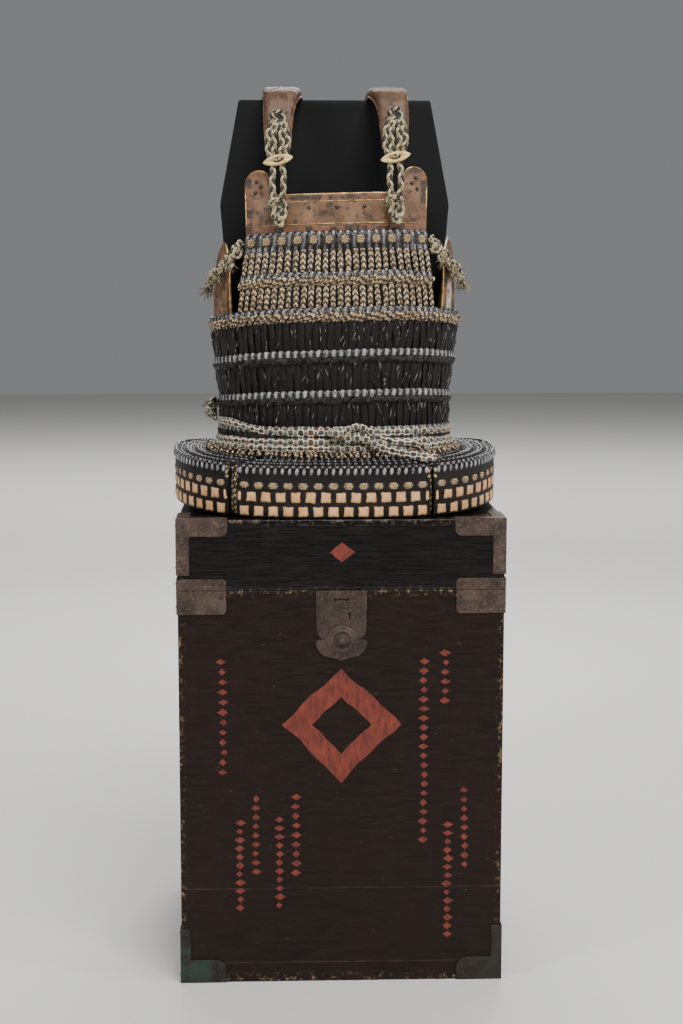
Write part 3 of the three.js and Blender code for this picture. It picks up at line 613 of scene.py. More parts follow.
def boxWood():
    # coniferous boards under thin brown lacquer: faint grain, rubbed pale along the box's edges, small nicks
    add, finish, at = startMaterial("brown lacquered boards", "box_wood", 0.5, **{"Specular IOR Level": 0.22})
    grain = add("noise", add("stretch", at, (0.12, 0.12, 1.0)), 5.0, 5.0, 0.65)
    height = add("parts", at).node.outputs["Z"]
    seams = []
    for level, strength in ((0.127, 0.5), (0.026, 0.7)):  # the joints between the boards
        line = add("ramp", add("absolute", add("subtract", height, level)), 0.0011, 0.0003, 0.0, strength)
        seams.append((add("multiply", line, add("ramp", add("noise", at, 30.0), 0.35, 0.6)), "#4c3a2c"))
    nick = add("ramp", add("noise", add("stretch", at, (0.35, 0.35, 1.0)), 6.0, 6.0, 0.75), 0.66, 0.7)
    ground = layered(add, add("mix", add("ramp", grain, 0.36, 0.66), "#120a06", "#22150e"), [
        (add("ramp", add("noise", at, 110.0, 3.0), 0.46, 0.7, 0.0, 0.4), "#25140e"),
        *seams,
        (add("multiply", nick, 0.6), "#75624b"),
        (rubbedThrough(add, at, 0.54), "#8a7250")])
    return finish(ground, grain, 0.3, Roughness=add("ramp", grain, 0.3, 0.7, 0.4, 0.6))


def lidLacquer():
    # black lacquer worn thin over straight-grained board, so the grain shows in relief
    add, finish, at = startMaterial("black lacquered lid", "lid_lacquer", 0.3, **{"Specular IOR Level": 0.32})
    grain = add("noise", add("stretch", at, (0.06, 0.06, 1.0)), 2.6, 4.0, 0.6)
    ground = layered(add, add("mix", add("ramp", grain, 0.4, 0.62), "#050404", "#14100f"), [
        (add("multiply", add("ramp", add("noise", at, 40.0, 4.0), 0.56, 0.72), 0.4), "#221b17"),
        (rubbedThrough(add, at, 0.52), "#6f6152")])
    return finish(ground, grain, 0.3, Roughness=add("ramp", grain, 0.3, 0.7, 0.2, 0.4))


def vermilionPaint():
    # vermilion brushed thinly on the lacquer, faded to brick and worn through in specks
    add, finish, at = startMaterial("faded vermilion paint", "box_wood", 0.62)
    brushed = add("ramp", add("noise", add("stretch", at, (1.0, 1.0, 0.3)), 6.0, 4.0), 0.35, 0.68)
    specks = add("ramp", add("noise", at, 2.4, 5.0), 0.62, 0.7)
    return finish(add("mix", specks, add("mix", brushed, "#541f16", "#823422"), "#3a2620"))


def blackPaint():
    # matt black paint on board
    dull = {"Specular IOR Level": 0.2}
    add, finish, at = startMaterial("matt black painted board", "board_black", 0.6, **dull)
    return finish(add("mix", add("noise", at, 30.0), "#050506", "#0b0b0d"), add("noise", at, 1.5), 0.1)


def rosetteCloth():
    # small squares of printed leather: a tan flower of eight petals on dark, with a pale eye
    add, finish, at = startMaterial("printed rosettes", "pale_lacing", 0.75)
    uv = add("cloth")
    parts, far = add("parts", uv).node.outputs, add("distance", uv)
    petals = add("cosine", add("multiply", add("arctan2", parts["Y"], parts["X"]), 8.0))
    reach = add("add", add("multiply", petals, 0.0009), add("multiply", add("noise", at, 3.0), 0.002))
    petal = add("ramp", add("subtract", add("add", reach, 0.0042), far), -0.0002, 0.0003)
    petal = add("multiply", petal, add("ramp", add("noise", at, 1.7, 3.0), 0.36, 0.5))
    ground = layered(add, add("mix", add("noise", at, 4.0), "#2a2320", "#4a4038"), [
        (petal, "#b0946a"),
        (add("ramp", far, 0.0021, 0.0015), "#7a5635"),
        (add("ramp", far, 0.001, 0.0006), "#d8c49a")])
    return finish(ground, petal, 0.5)


urushi, darkSilk, paleSilk, cordSilk = urushiScales(), darkBraid(), paleBraid(), roundBraid()
leather, gilt, silver, nailIron, iron = smokedLeather(), giltRim(), silverRim(), darkIron(), forgedIron()
beltCotton, bone, buff, printedRosette = beltPrint(), carvedBone(), buffLeather(), rosetteCloth()
wood, lidBlack, vermilion, boardBlack = boxWood(), lidLacquer(), vermilionPaint(), blackPaint()
print("finishes ready")

rowTable = [  # part rows have half widths at top and foot, the others go right round; the laces lead to next
    {"name": "chest_lame_1", "top": 367, "foot": 302, "next": 315, "half": (117, 127), "look": "rosettes"},
    {"name": "chest_lame_2", "top": 315, "foot": 255, "next": 268, "half": (124, 131), "look": "pale"},
    {"name": "back_lame_1", "top": 315, "foot": 255, "next": 268, "half": (126, 131), "look": "pale"},
    {"name": "back_lame_2", "top": 362, "foot": 301, "next": 315, "half": (120, 126), "look": "pale"},
    {"name": "back_lame_3", "top": 409, "foot": 348, "next": 362, "half": (114, 120), "look": "rosettes"},
    {"name": "waist_lame_1", "top": 268, "foot": 200, "next": 213, "look": "mixed"},
    {"name": "waist_lame_2", "top": 213, "foot": 147, "next": 160, "look": "dark"},
    {"name": "waist_lame_3", "top": 160, "foot": 99, "next": 112, "look": "dark"},
    {"name": "waist_lame_4", "top": 112, "foot": 78, "next": 79, "look": "dark"},
]
scaleForm = {
    "pitch": 9.65, "ridge": 1.5, "crown": 1.5, "slope": 1.1, "lean": 0.35, "steps": 8,
    # how far out, and how far below the top; the last three are measured up from the foot
    "outer": [(1.9, 0), (3.3, 0.2), (4.1, 1.6), (4.5, 4.5), (4.6, 8), (3.2, 11.5), (1.4, 14.5), (1, 20)],
    "foot": [(-0.2, 14.0), (-0.4, 1.0), (-1.8, 0.0), (-3.2, 1.0)],
    "inner": [(-3.4, 19.5), (1.0, 14.6), (1.2, 8.0), (1.2, 1.5)],
}


def rowShares(row):
    # maps a place along the row, 0 to 1, and a height to a share of the body's plan
    if "half" not in row:
        return lambda c, h: wrap["edge"] + (1 - wrap["slit"]) * c
    heights = np.linspace(row["foot"] - 4, row["top"] + 4, 8)
    halves = np.interp(heights, (row["foot"], row["top"]), row["half"][::-1])
    levels = np.round((heights - bodyLevels[0]) / levelStep).astype(int)
    shares = [shareOf(bodyTables[0][level], x) for level, x in zip(levels, halves)]
    turn = 0.5 if row["name"].startswith("back") else 0.0
    return lambda c, h: turn + np.interp(h, heights, shares) * (2 * c - 1)


def rowCount(row):
    # how many scales the row has at its middle height
    mid = (row["top"] + row["foot"]) / 2
    share = rowShares(row)
    around = bodyTables[2][int((mid - bodyLevels[0]) / levelStep)]
    return int(round(around * (share(1.0, mid) - share(0.0, mid)) / scaleForm["pitch"]))


def onRow(row, c, h, out):
    c, h, out = floats(c, h, out)
    share = rowShares(row)(c, h)
    if "half" not in row:
        out = out + openingStep(share)
    return bodyPoint(share, h, out)


def scaleBody(row):
    # closed section (out, h) carried along the row; each scale lifts it by 1 - |2p - 1|^3, p the place across
    # the scale, and its top edge leans and rounds off: h falls by crown |2p - 1|^4 and slants with p
    f, top, foot, look = scaleForm, row["top"], row["foot"], row["look"]
    section = ([(o, top - d, 1.0 if d < 10 else 0.4, max(0.0, 1 - d / 5)) for o, d in f["outer"]]
               + [(o, foot + d, 0.3, 0.0) for o, d in f["foot"]]
               + [(o, top - d, 0.0, 1.0 if d < 2 else 0.0) for o, d in f["inner"]])
    out, h, lift, crown = (np.array(v)[None, :] for v in zip(*section))
    count = rowCount(row)
    c = np.linspace(0, 1, count * f["steps"] + 1)[:, None]
    p, scale = (c * count) % 1.0, np.floor(c * count)
    lean = wobble(scale * 3.1, top) * f["lean"]
    out = out + lift * ((0.25 - np.abs(2 * p - 1) ** 3) * f["ridge"] + lean)
    h = h - crown * (f["crown"] * np.abs(2 * p - 1) ** 4 + f["slope"] * (p - 0.5)) + crown * lean * 1.4
    # the crest, partly rubbed and partly a painted highlight: an upright oval that leans with the lacing,
    # stronger on some heads than on others
    low = {"rosettes": 10.5, "dark": 6.0}.get(look, 5.0)
    fall = (h - (top - low)) / low
    lit = 0.72 + 0.28 * wobble(scale * 1.7, int(top) + 3) + 0.1 * np.sin(scale * 2.7)
    # worn here is mostly a painted highlight, strongest on the dark rows
    worn = np.clip(lift + 0.35 * (look == "rosettes"), 0, 1) * np.exp(-((p - 0.46 - fall * 0.07) / 0.21) ** 4)
    worn = worn * (c > 0.003) * (c < 0.997) * np.exp(-fall ** 6) * lit * (1.0 if look == "dark" else 0.62)
    inner = np.broadcast_to(np.arange(worn.shape[1]) >= worn.shape[1] - len(f["inner"]), worn.shape)
    loft(row["name"] + "_scales", urushi, onRow(row, c, h, out), node=row["name"],
         worn=worn * ~inner, inner=inner)


laceForm = {"pale": (3.5, 1.5), "dark": (4.7, 1.5), "steps": 14}


def alongRow(row, name, finish, c, h, out, halfWidth, halfThick, around, square=2.0, glint=0.0):
    # strands that lie on a row, facing out
    path = onRow(row, c, h, out)
    outward = onRow(row, c, h, out + 1) - path
    strandMesh(row["name"] + name, finish, path, outward, halfWidth, halfThick, around, square, glint=glint)


def laceField(row, pale, top, bottom):
    # one flat braid a scale, from under the edge band to behind the next row, bowed out by sin(pi t)^0.7
    count = rowCount(row)
    t = np.linspace(0, 1, laceForm["steps"])[None, :]
    i = np.arange(count)[:, None]
    drift = wobble(i * 0.9 + t * 2.2, int(top)) * 0.16 + rng.normal(0, 0.05, (count, 1))
    half, thick = laceForm["pale" if pale else "dark"]
    c = (i + 0.5 + drift * (0.6 if pale else 1.0)) / count
    h = top + (bottom - top) * t + np.zeros_like(c)
    bow = np.sin(np.pi * t) ** 0.7
    out = 0.9 + bow * (1.5 + rng.normal(0, 0.28, (count, 1))) + wobble(i * 1.3 + t * 5, int(top) + 1) * 0.25
    wide = half * (0.82 + 0.18 * bow) * (1 + rng.normal(0, 0.05, (count, 1)))
    thick = thick * (0.7 + 0.3 * bow)
    alongRow(row, "_laces", paleSilk if pale else darkSilk, c, h, out, wide, thick, 8, 2.6)


ropeForm = {"top": 6.6, "darkDrop": 3, "bottom": 19, "reach": 2.5, "radius": 2.3, "thick": 1.9, "steps": 7}


def edgeRope(row, pale):
    # the slanting stitches under the heads: two short thick strands a scale, each rising to the right like a
    # rope's lay, bowed out by sin(pi t)^0.6
    f, count = ropeForm, rowCount(row) * 2
    t = np.linspace(0, 1, f["steps"])[None, :]
    c = np.arange(count)[:, None] - 0.8 + f["reach"] * t + rng.normal(0, 0.12, (count, 1))
    start = f["top"] + (0 if pale else f["darkDrop"])
    h = row["top"] - f["bottom"] + (f["bottom"] - start) * t + rng.normal(0, 0.35, (count, 1))
    arch = np.sin(np.pi * t) ** 0.6
    ground = np.interp(row["top"] - h, [6, 8.5, 13.5, 18.5], [4.9, 4.8, 2.2, 1.4])
    out = ground + arch * 2.2 + rng.normal(0, 0.2, (count, 1))
    taper = 0.55 + 0.45 * arch
    # the dark rope takes a little painted highlight through glint
    alongRow(row, "_rope", paleSilk if pale else darkSilk, np.clip(c / count, 0.0005, 0.9995), h, out,
             f["radius"] * taper, f["thick"] * taper, 7, glint=0.0 if pale else 0.12)


def padField(name, finish, surface, centres, half, thick, around=16, square=5.0, sink=0.6, tilt=None, rings=4,
             shine=1.0, uneven=0.0):
    # small pillows: |u/a|^s + |v/b|^s = r^s rings of a dome 1 - r^3, on a surface given as (u, v, out) from
    # each centre; uneven pads pull in at the middle of their sides by cos(4a), wander by sin(3a) and sin(5a)
    centres = np.array(centres, float)
    n = len(centres)
    angle = (np.arange(around) + 0.5) / around * fullTurn
    r = np.linspace(0.25, 1, rings)
    plain = (np.abs(np.cos(angle)) ** square + np.abs(np.sin(angle)) ** square) ** (-1 / square)
    reach = np.concatenate([r, [1, 0.3]])[:, None] * plain  # the last two rings are sunk and close the back
    u, v = (np.append((reach * q).ravel(), [0, 0]) for q in (np.cos(angle), np.sin(angle)))

    def perPoint(dome, sunk, top, back):
        # one value a point: rings of the dome, the sunk rings, the dome's top and the middle of the back
        return np.concatenate([np.repeat(dome, around), np.full(2 * around, sunk), [top, back]])
    lift = perPoint((1 - r ** 3) * thick + 0.25 * thick, -sink, 1.25 * thick, -sink)
    size = rng.normal(1, 0.03, (n, 2))
    lean = rng.normal(0, 0.03, (n, 1)) if tilt is None else np.full((n, 1), tilt)
    turn = np.append(np.tile(angle, rings + 2), [0, 0])
    phase = rng.uniform(0, 6.3, (2, n, 1))
    wander = 0.035 * np.sin(3 * turn + phase[0]) + 0.03 * np.sin(5 * turn + phase[1])
    wave = 1 + uneven * (wander - 0.045 * np.cos(4 * turn))
    uu, vv = u * half[0] * size[:, :1] * wave, v * half[1] * size[:, 1:] * wave
    uu, vv = uu - vv * lean, vv + uu * lean
    points = surface(centres, uu, vv, np.broadcast_to(lift, uu.shape))
    tone = rng.uniform(0, 1, n)
    # worn is a painted highlight on each dome's top, partly wear, scaled by shine and stronger on some pads
    # than on others
    worn = perPoint(1 - r ** 4, 0, 1, 0) * shine * rng.uniform(0.35, 1, (n, 1))
    return putMesh(name, finish, points, *tubeFaces(rings + 2, around, n), stacked(uu * mm, vv * mm),
                   edge=np.tile(perPoint(r ** 6, 1, 0, 1), n), tone=np.repeat(tone, len(u)), worn=worn)


def flatPads(name, finish, place, spots, half, thick, **looks):
    # pads on a surface with two coordinates of its own: u and v are added to the centre's
    def surface(centres, u, v, out):
        return place(centres[:, :1] + u, centres[:, 1:2] + v, out)
    return padField(name, finish, surface, spots, half, thick, **looks)


rosetteForm = {"across": 12, "below": 11.5, "half": (6.9, 6.7), "thick": 1.5}


def rosettes(row):
    f, length = rosetteForm, rowCount(row) * scaleForm["pitch"]

    def onHeads(along, h, out):
        base = np.interp(row["top"] - h, [0, 8.5, 13.5, 20, 30], [4.4, 4.8, 2.6, 1.4, 1.2])
        return onRow(row, along / length, h, base + out)
    places = (np.arange(f["across"]) + 0.5) / f["across"] * length
    spots = [(x, row["top"] - f["below"]) for x in places]
    flatPads(row["name"] + "_rosettes", printedRosette, onHeads, spots, f["half"], f["thick"], square=6.0)


flossForm = {"count": 170, "length": (4, 12), "radius": 0.42, "out": 4.6, "clear": (17, 20)}


def looseFloss(row):
    # short broken threads of the lacing, painted pale grey through glint as a highlight; each bends by a
    # random share of t^2
    f, n = flossForm, flossForm["count"]
    c = rng.uniform(0.005, 0.995, (n, 1))
    h0 = rng.uniform(row["foot"] + f["clear"][1], row["top"] - f["clear"][0], (n, 1))
    t = np.linspace(-0.5, 0.5, 6)[None, :]
    size = rng.uniform(*f["length"], (n, 1))
    lean = rng.normal(0.12, 0.3, (n, 1))
    bend = rng.normal(0, 0.25, (n, 1))
    sideways = (lean * t + bend * (t ** 2)) * size / (rowCount(row) * scaleForm["pitch"])
    h = h0 + size * t
    path = onRow(row, np.clip(c + sideways, 0.001, 0.999), h,
                 f["out"] + rng.uniform(-1.2, 0.2, (n, 1)) + 0.8 * (0.25 - t ** 2))
    ahead = onRow(row, np.clip(c, 0.001, 0.999), h, f["out"] + 4)
    strandMesh(row["name"] + "_floss", darkSilk, path, ahead - path, f["radius"], f["radius"], 4, glint=0.95)


for row in rowTable:
    scaleBody(row)
    look, top = row["look"], row["top"]
    laceField(row, look in ("pale", "rosettes"), top - (24 if look == "rosettes" else 15.5), row["next"] - 3)
    if look == "rosettes":
        rosettes(row)
    else:
        edgeRope(row, look in ("pale", "mixed"))
    if look in ("dark", "mixed") and row["name"] != "waist_lame_4":
        looseFloss(row)
print("rows of scales ready")

plateForm = {"halfWidth": 119, "bottom": 356, "top": 414, "earMiddle": 102.5, "earRadius": 16.5,
             "shoulder": 431, "thick": 4, "sink": 3.3, "border": 8.5, "rim": 1.5, "bead": 0.55, "hem": 11}
backForm = {"halfWidth": 114, "bottom": 396, "top": 498, "corner": 30, "neckDip": 7, "neckHalf": 45,
            "thick": 4, "sink": 3.3, "border": 8.5, "rim": 1.5, "hem": 0}
sideForm = {"bottom": 256, "dip": 322, "peak": 361, "thick": 3.2, "sink": 0.6, "front": 0.163, "back": 0.337,
            "peakShare": 0.096, "border": 5, "rim": 1.9}


def breastTop(x):
    # level in the middle, a short slope, then a round ear: shoulder + sqrt(r^2 - d^2), d from its middle
    f, ax = plateForm, np.abs(x)
    start = f["earMiddle"] - f["earRadius"]
    d = np.minimum(np.abs(ax - f["earMiddle"]), f["earRadius"])
    ear = f["shoulder"] + np.sqrt(f["earRadius"] ** 2 - d ** 2)
    slope = f["top"] + np.maximum(0, (ax - start + 6) * 2.6)
    near = np.minimum(slope, np.where(ax > start, ear, 999))
    return np.maximum(f["top"], np.where(ax < f["earMiddle"], near, ear))


def backTop(x):
    # round corners, and a dip for the neck: neckDip (1 - (x / neckHalf)^2)
    f = backForm
    d = np.maximum(0, np.abs(x) - f["halfWidth"] + f["corner"])
    round_ = f["top"] - f["corner"] + np.sqrt(np.maximum(f["corner"] ** 2 - d ** 2, 0))
    return round_ - f["neckDip"] * np.maximum(0, 1 - (x / f["neckHalf"]) ** 2)


def earColumns(width, flat, middle, ears):
    # places across a plate from its middle: even on the level part, then crowded where the ear turns
    t = np.linspace(0, np.pi, ears)
    return np.concatenate([np.linspace(0, flat, middle), 84 + (width - 84) * (0.5 - 0.5 * np.cos(t))])


def closedSection(*halves):
    # front values, then the back ones in reverse, as one closed section; pairs of (front, back)
    return [np.concatenate([front, back[:, ::-1]], 1) for front, back in halves]


def bentPlate(name, node, f, topAt, columns, back):
    # columns of a closed section, front face up and back face down; the top follows topAt(x)
    x = mirrored(columns)[:, None]
    t = np.linspace(0, 1, 22)[None, :]
    top = topAt(x)
    h = f["bottom"] + (top - f["bottom"]) * t
    dent = 0.5 * np.sin(x / 21 + 1.3) * np.sin(h / 17) + 0.35 * np.sin(x / 9 + h / 12)
    out = -f["sink"] * (1 - t) + dent * np.sin(np.pi * t)
    fromEdge = np.minimum(np.minimum(f["halfWidth"] - np.abs(x), top - h), h - f["bottom"] - f["hem"])
    edge = 1 - smoothStep(fromEdge, f["border"] - 1.2, f["border"])
    hs, outs, edges = closedSection((h, h), (out, out - f["thick"]), (edge, 0 * edge))
    loft(name, leather, facePoint(x, hs, outs, back), node=node, edge=edges)


def plateLine(name, x, h, outs, f, radius, back=False):
    # a gilt bead along a line on the plate; outs is how far out it lies at the plate's bottom and at its top
    out = np.interp(h, [f["bottom"], f["top"]], outs)
    path = facePoint(x, h, out, back)[None]
    strandMesh(name, gilt, path, facePoint(x, h, out + 1, back)[None] - path, radius, radius, 8)


def plateRim(name, f, topAt, base, back=False):
    # up one side, along the top and down the other
    x = mirrored(earColumns(f["halfWidth"], 80, 30, 40))
    top = topAt(x)
    side = np.linspace(f["bottom"] + base, top[0], 24)[:-1]
    ends = np.full(len(side), f["halfWidth"])
    x, h = np.concatenate([-ends, x, ends]), np.concatenate([side, top, side[::-1]])
    plateLine(name, x, h, (-5.3, -2.0), f, f["rim"], back)


def buildPlates():
    f, b = plateForm, backForm
    columns = earColumns(f["halfWidth"], 78, 24, 34)
    bentPlate("breastPlateLeather", "breast_plate", f, breastTop, columns, False)
    plateRim("breastPlateRim", f, breastTop, 9)
    for name, level, half in (("breastLineTop", f["top"] - 9, 78), ("breastLineLow", 376, 100)):
        plateLine(name, np.linspace(-half, half, 70), np.full(70, float(level)), (-3.2, 0.05), f, f["bead"])
    ears = [(-104, 434), (-98.5, 427), (-106, 420)]

    def onPlate(x, h, out):
        return facePoint(x, h, np.interp(h, [f["bottom"], f["top"]], [-f["sink"], 0]) + out)
    nails = ears + [(-x, h) for x, h in ears] + [(x, 397) for x in (-36, 0, 36)]
    flatPads("breastNails", nailIron, onPlate, nails, (2.3, 2.3), 1.5, around=12, square=2.0, tilt=0.0)
    width = b["halfWidth"] * np.sin(np.linspace(0, np.pi / 2, 46))
    bentPlate("backPlateLeather", "back_plate", b, backTop, width, True)
    plateRim("backPlateRim", b, backTop, 8, True)


def sideTop(t):
    # the top dips under the arm between two peaks, and falls off again towards both ends
    f, fromEnd = sideForm, np.minimum(t, 1 - t)
    rise = 1 - smoothStep(fromEnd, f["peakShare"], 0.46)
    return f["dip"] + (f["peak"] - f["dip"]) * rise - 20 * (1 - smoothStep(fromEnd, 0, f["peakShare"]))


def sidePlate(side, label):
    # share runs from the front edge to the rear one
    f = sideForm

    def onSide(t, h, out):
        share = side * (f["front"] + (f["back"] - f["front"]) * t)
        return bodyPoint(share, h, out + (openingStep(share + 1) if side < 0 else 0))
    t = (0.5 - 0.5 * np.cos(np.linspace(0, np.pi, 60)))[:, None]
    v = np.linspace(0, 1, 18)[None, :]
    top = sideTop(t)
    h = f["bottom"] + (top - f["bottom"]) * v
    out = 0.64 * np.sin(np.pi * v) * np.sin(t * 9 + side) - f["sink"]
    edge = 1 - smoothStep(np.minimum(np.minimum(t, 1 - t) * 165, top - h), f["border"], f["border"] + 1.2)
    # a strip near the right plate's front edge has lost its colour
    across = smoothStep(t, 0.05, 0.062) * (1 - smoothStep(t, 0.13, 0.16))
    bare = (side > 0) * across * (1 - smoothStep(v, 0.42, 0.5)) * smoothStep(v, 0.06, 0.12)
    hs, outs = closedSection((h, h), (out, out - f["thick"]))
    edges, bares = closedSection((edge, 0 * edge), (bare, 0 * bare))
    loft("sidePlateLeather_" + label, leather, onSide(t, hs, outs), node="side_plate_" + label,
         edge=edges, bare=bares)
    low = f["bottom"] + 4
    rise = low + (sideTop(0.0) - low) * np.linspace(0, 1, 16)[:-1]
    lineT = np.concatenate([0 * rise, t[:, 0], 0 * rise + 1])
    lineH = np.concatenate([rise, sideTop(t[:, 0]), rise[::-1]])
    path = onSide(lineT, lineH, -f["sink"] - f["thick"] / 2)[None]
    outward = onSide(lineT, lineH, 4 - f["sink"])[None] - path
    # the right plate's rim turns from gilt to silver where its front edge rounds over
    parts = [("", 0, 90, gilt)] if side < 0 else [("", 0, 18, gilt), ("Silver", 17, 90, silver)]
    for part, start, stop, made in parts:
        strandMesh("sidePlateRim" + part + "_" + label, made, path[:, start:stop], outward[:, start:stop],
                   f["rim"], f["rim"], 8)


buildPlates()
sidePlate(-1, "left")
sidePlate(1, "right")
print("plates ready")

strapForm = {"thick": 5, "wall": 4.5, "crinkle": 1.5, "steps": 130, "round": 0.4, "rim": 1.5, "clearEnds": 3}
strapRun = np.array([  # y, h, x, width, turned-down edge
    (-107, 467, 76, 30, 6), (-105, 489, 76, 33, 6), (-98, 519, 75, 37, 8), (-80, 545, 72.5, 43, 12),
    (-50, 555, 70.5, 50, 12), (-22, 558, 70, 52, 15), (20, 557, 70, 54, 16), (56, 546, 70, 54, 12),
    (80, 524, 70, 54, 8), (88, 500, 70, 54, 6), (89, 478, 70, 54, 6)], float)


def strap(side, label):
    # section: u = w cos^0.4, v = drop (sin^0.4 - 1), with its wall inside it; swept along the shoulder
    f, n = strapForm, strapForm["steps"]
    p = smoothPath(strapRun[:, [2, 0, 1, 3, 4]], n)
    centre = p[:, :3] * [side, 1, 1]
    across = np.array([1.0, 0, 0])
    up = np.cross(across, unit(np.gradient(centre, axis=0)))
    a = np.linspace(np.pi, 0, 31)
    cu, cv = rounded(a, 2 / f["round"])
    fromEnd = np.exp(-np.arange(n) / 2.2)
    w = p[:, 3:4] / 2 * (1 - 0.18 * (fromEnd + fromEnd[::-1])[:, None])
    drop = p[:, 4:5]
    along = np.linspace(0, 1, n)[:, None]
    crest = np.exp(-((along - 0.45) / 0.16) ** 2)
    fold = (wobble(along * 46 + a * 0.7, 5 + side, 6) * crest * f["crinkle"]
            + wobble(a * 3 + along * 6, 9 + side, 4) * 0.5)
    outerU, innerU = w * cu, (w - f["wall"]) * cu
    outerV = drop * (cv - 1) + fold
    innerV = np.maximum(drop - f["thick"], 0.3) * (cv - 1) - f["thick"] + fold * 0.6
    edge = 1 - smoothStep(w - np.abs(outerU), 3.5, 5.0)
    u, v, edges = closedSection((outerU, innerU), (outerV, innerV), (edge, 0 * edge))
    rings = placedPath(centre[:, None] + across * u[..., None] + up[:, None] * v[..., None])
    loft("strapLeather_" + label, leather, rings, node="shoulder_strap_" + label, edge=edges,
         sooty=np.full(edges.shape, 0.8))
    clear = slice(f["clearEnds"], -f["clearEnds"])
    rims = np.array([placedPath(centre + across * (s * w) - up * drop) for s in (-1, 1)])[:, clear]
    outward = np.broadcast_to(up[clear], rims.shape)
    strandMesh("strapRim_" + label, leather, rims, outward, f["rim"], f["rim"], 8)


def plait(name, knots, width, depth, ply, pitch, tones=(0, 1, 0), outward=(0, -1, 0), node=None):
    # flat plait: each ply weaves sin(f) across and sin(2f) in and out, the plies a third of a turn apart
    longest = max(np.linalg.norm(np.diff(np.array(line, float), axis=0), axis=1).sum() for line in knots)
    count = int(longest * 0.9) + 8
    paths, out = [], np.array(outward, float)
    for line in knots:
        core = smoothPath(line, count)
        tangent = unit(np.gradient(core, axis=0))
        side = unit(np.cross(tangent, out))
        normal = np.cross(side, tangent)
        for k in range(len(tones)):
            f = fullTurn * (lengthAlong(core)[:, None] / pitch + k / len(tones))
            paths.append(core + side * width * np.sin(f) + normal * depth * np.sin(2 * f))
    world = placedPath(paths)
    strandMesh(name, cordSilk, world, np.broadcast_to(out, world.shape), ply, ply * 0.9, 7,
               tone=np.tile(tones, len(knots)), node=node)


def knotBall(name, centres, size, ply, turns=(2, 5, 3), tones=(0.0,)):
    # a tangle: x = sin(m t + a), narrowed near the ends of z = cos(k t + a/2), and y = sin(n t + a), to size
    t = np.linspace(0, fullTurn, 124)
    paths = []
    sizes = np.broadcast_to(size, (len(centres), 3))
    for k, (centre, reach) in enumerate(zip(np.array(centres, float), sizes)):
        for q in range(len(tones)):
            a = 0.6 + 2.1 * q + k
            z = np.cos(turns[2] * t + a * 0.5)
            x = np.sin(turns[0] * t + a) * np.sqrt(1 - 0.75 * z ** 2)
            paths.append(stacked(x, 0.75 * np.sin(turns[1] * t + a), z) * reach + centre)
    world = placedPath(paths)
    outward = world - np.repeat(placedPath(centres), len(tones), axis=0)[:, None]
    strandMesh(name, cordSilk, world, outward, ply, ply, 6, tone=np.tile(tones, len(centres)))


def fray(name, finish, roots, direction, length, spread, count, radius=0.42, tones=(0.0, 1.0)):
    # loose floss: each thread leaves its root, bends by a random turn and falls a little
    paths = []
    t = np.linspace(0, 1, 6)[:, None]
    for root in roots:
        for _ in range(count):
            way = unit(np.array(direction, float) + rng.normal(0, spread, 3))
            bend = 0.6 * rng.normal(0, 0.35, 3) + [0, 0, -0.3]
            size = length * rng.uniform(0.55, 1.15)
            paths.append(np.array(root) + rng.normal(0, 1.6, 3) + (way * t + bend * t ** 2) * size)
    world = placedPath(paths)
    outward = np.broadcast_to([0.3, -1.0, 0.1], world.shape)
    strandMesh(name, finish, world, outward, radius, radius, 4, tone=rng.choice(tones, len(paths)))


cordForm = {"x": 76, "spread": 7.0, "width": 2.6, "depth": 1.5, "ply": 1.75, "pitch": 21,
            "tones": (0, 1, 0.35), "eye": (-110, 512), "toggle": (-120, 459), "knot": (-124, 394)}
# side, and how far spread in the middle and at the toggle
upperRuns = [(-1, 1.9, 1.35), (-1, 0.75, 0.55), (1, 0.75, 0.55), (1, 1.9, 1.35)]


def shoulderCords(side, label):
    f = cordForm
    (ey, eh), (ty, th), (ky, kh) = f["eye"], f["toggle"], f["knot"]

    def at(step, y, h):
        x = side * f["x"] + step
        return (x, y, hung(x, h))

    def cord(kind, knots):
        plait("cord" + kind.title() + "_" + label, knots, f["width"], f["depth"], f["ply"], f["pitch"],
              f["tones"], node="strap_cord_" + kind + "_" + label)
    spread = f["spread"]
    cord("upper", [[at(s * 1.5, ey + 5, eh + 2), at(s * spread * wide * 0.75, ey - 4 - wide, eh - 12),
                    at(s * spread * wide, ty + 1 + wide, (eh + th) / 2 - 4),
                    at(s * spread * foot, ty + 2, th + 2)]
                   for s, wide, foot in upperRuns])
    cord("lower", [[at(s * spread * 0.7, ty + 2, th), at(s * spread * 1.05, ty - 2.5, (kh + th) / 2 + 6),
                    at(s * 5.0, ky - 1, kh + 10)] for s in (-1, 1)])
    knotBall("cordKnot_" + label, [at(-1, ky + 0.5, kh + 8), at(1, ky - 1, kh - 3), at(2, ky, kh - 13)],
             [(10.5, 5.0, 7.5), (9.0, 6.0, 8.0), (5.0, 3.6, 6.0)], 2.2, tones=(0.0, 0.3, 0.9))
    knotBall("cordEye_" + label, [at(0, ey + 1, eh)], (9.0, 3.6, 10.5), 1.9, (3, 5, 2), (1.0, 0.2, 0.9))
    fray("knotFray_" + label, cordSilk, [at(-2, ky, kh + 4), at(-7, ky, kh + 10), at(6, ky, kh + 9)],
         (-0.35, -0.4, 0.2), 9, 1.0, 110, 0.27, (0.3, 0.45, 0.9))
    # a loop of the lower cord comes up through the toggle's slot
    loop = [at(-5.5, ty + 3, th - 2), at(-2.5, ty - 5.5, th + 0.5), at(2.5, ty - 5.5, th + 1.5),
            at(5.5, ty + 3, th + 4)]
    plait("toggleLoop_" + label, [loop], 1.1, 0.8, 1.2, 9, f["tones"])


toggleForm = {"half": 20, "high": 7, "thick": 4, "slotHalf": 7, "slotHigh": 2.6, "tilt": 0.21, "proud": 1.5,
              "around": 64, "section": 16}


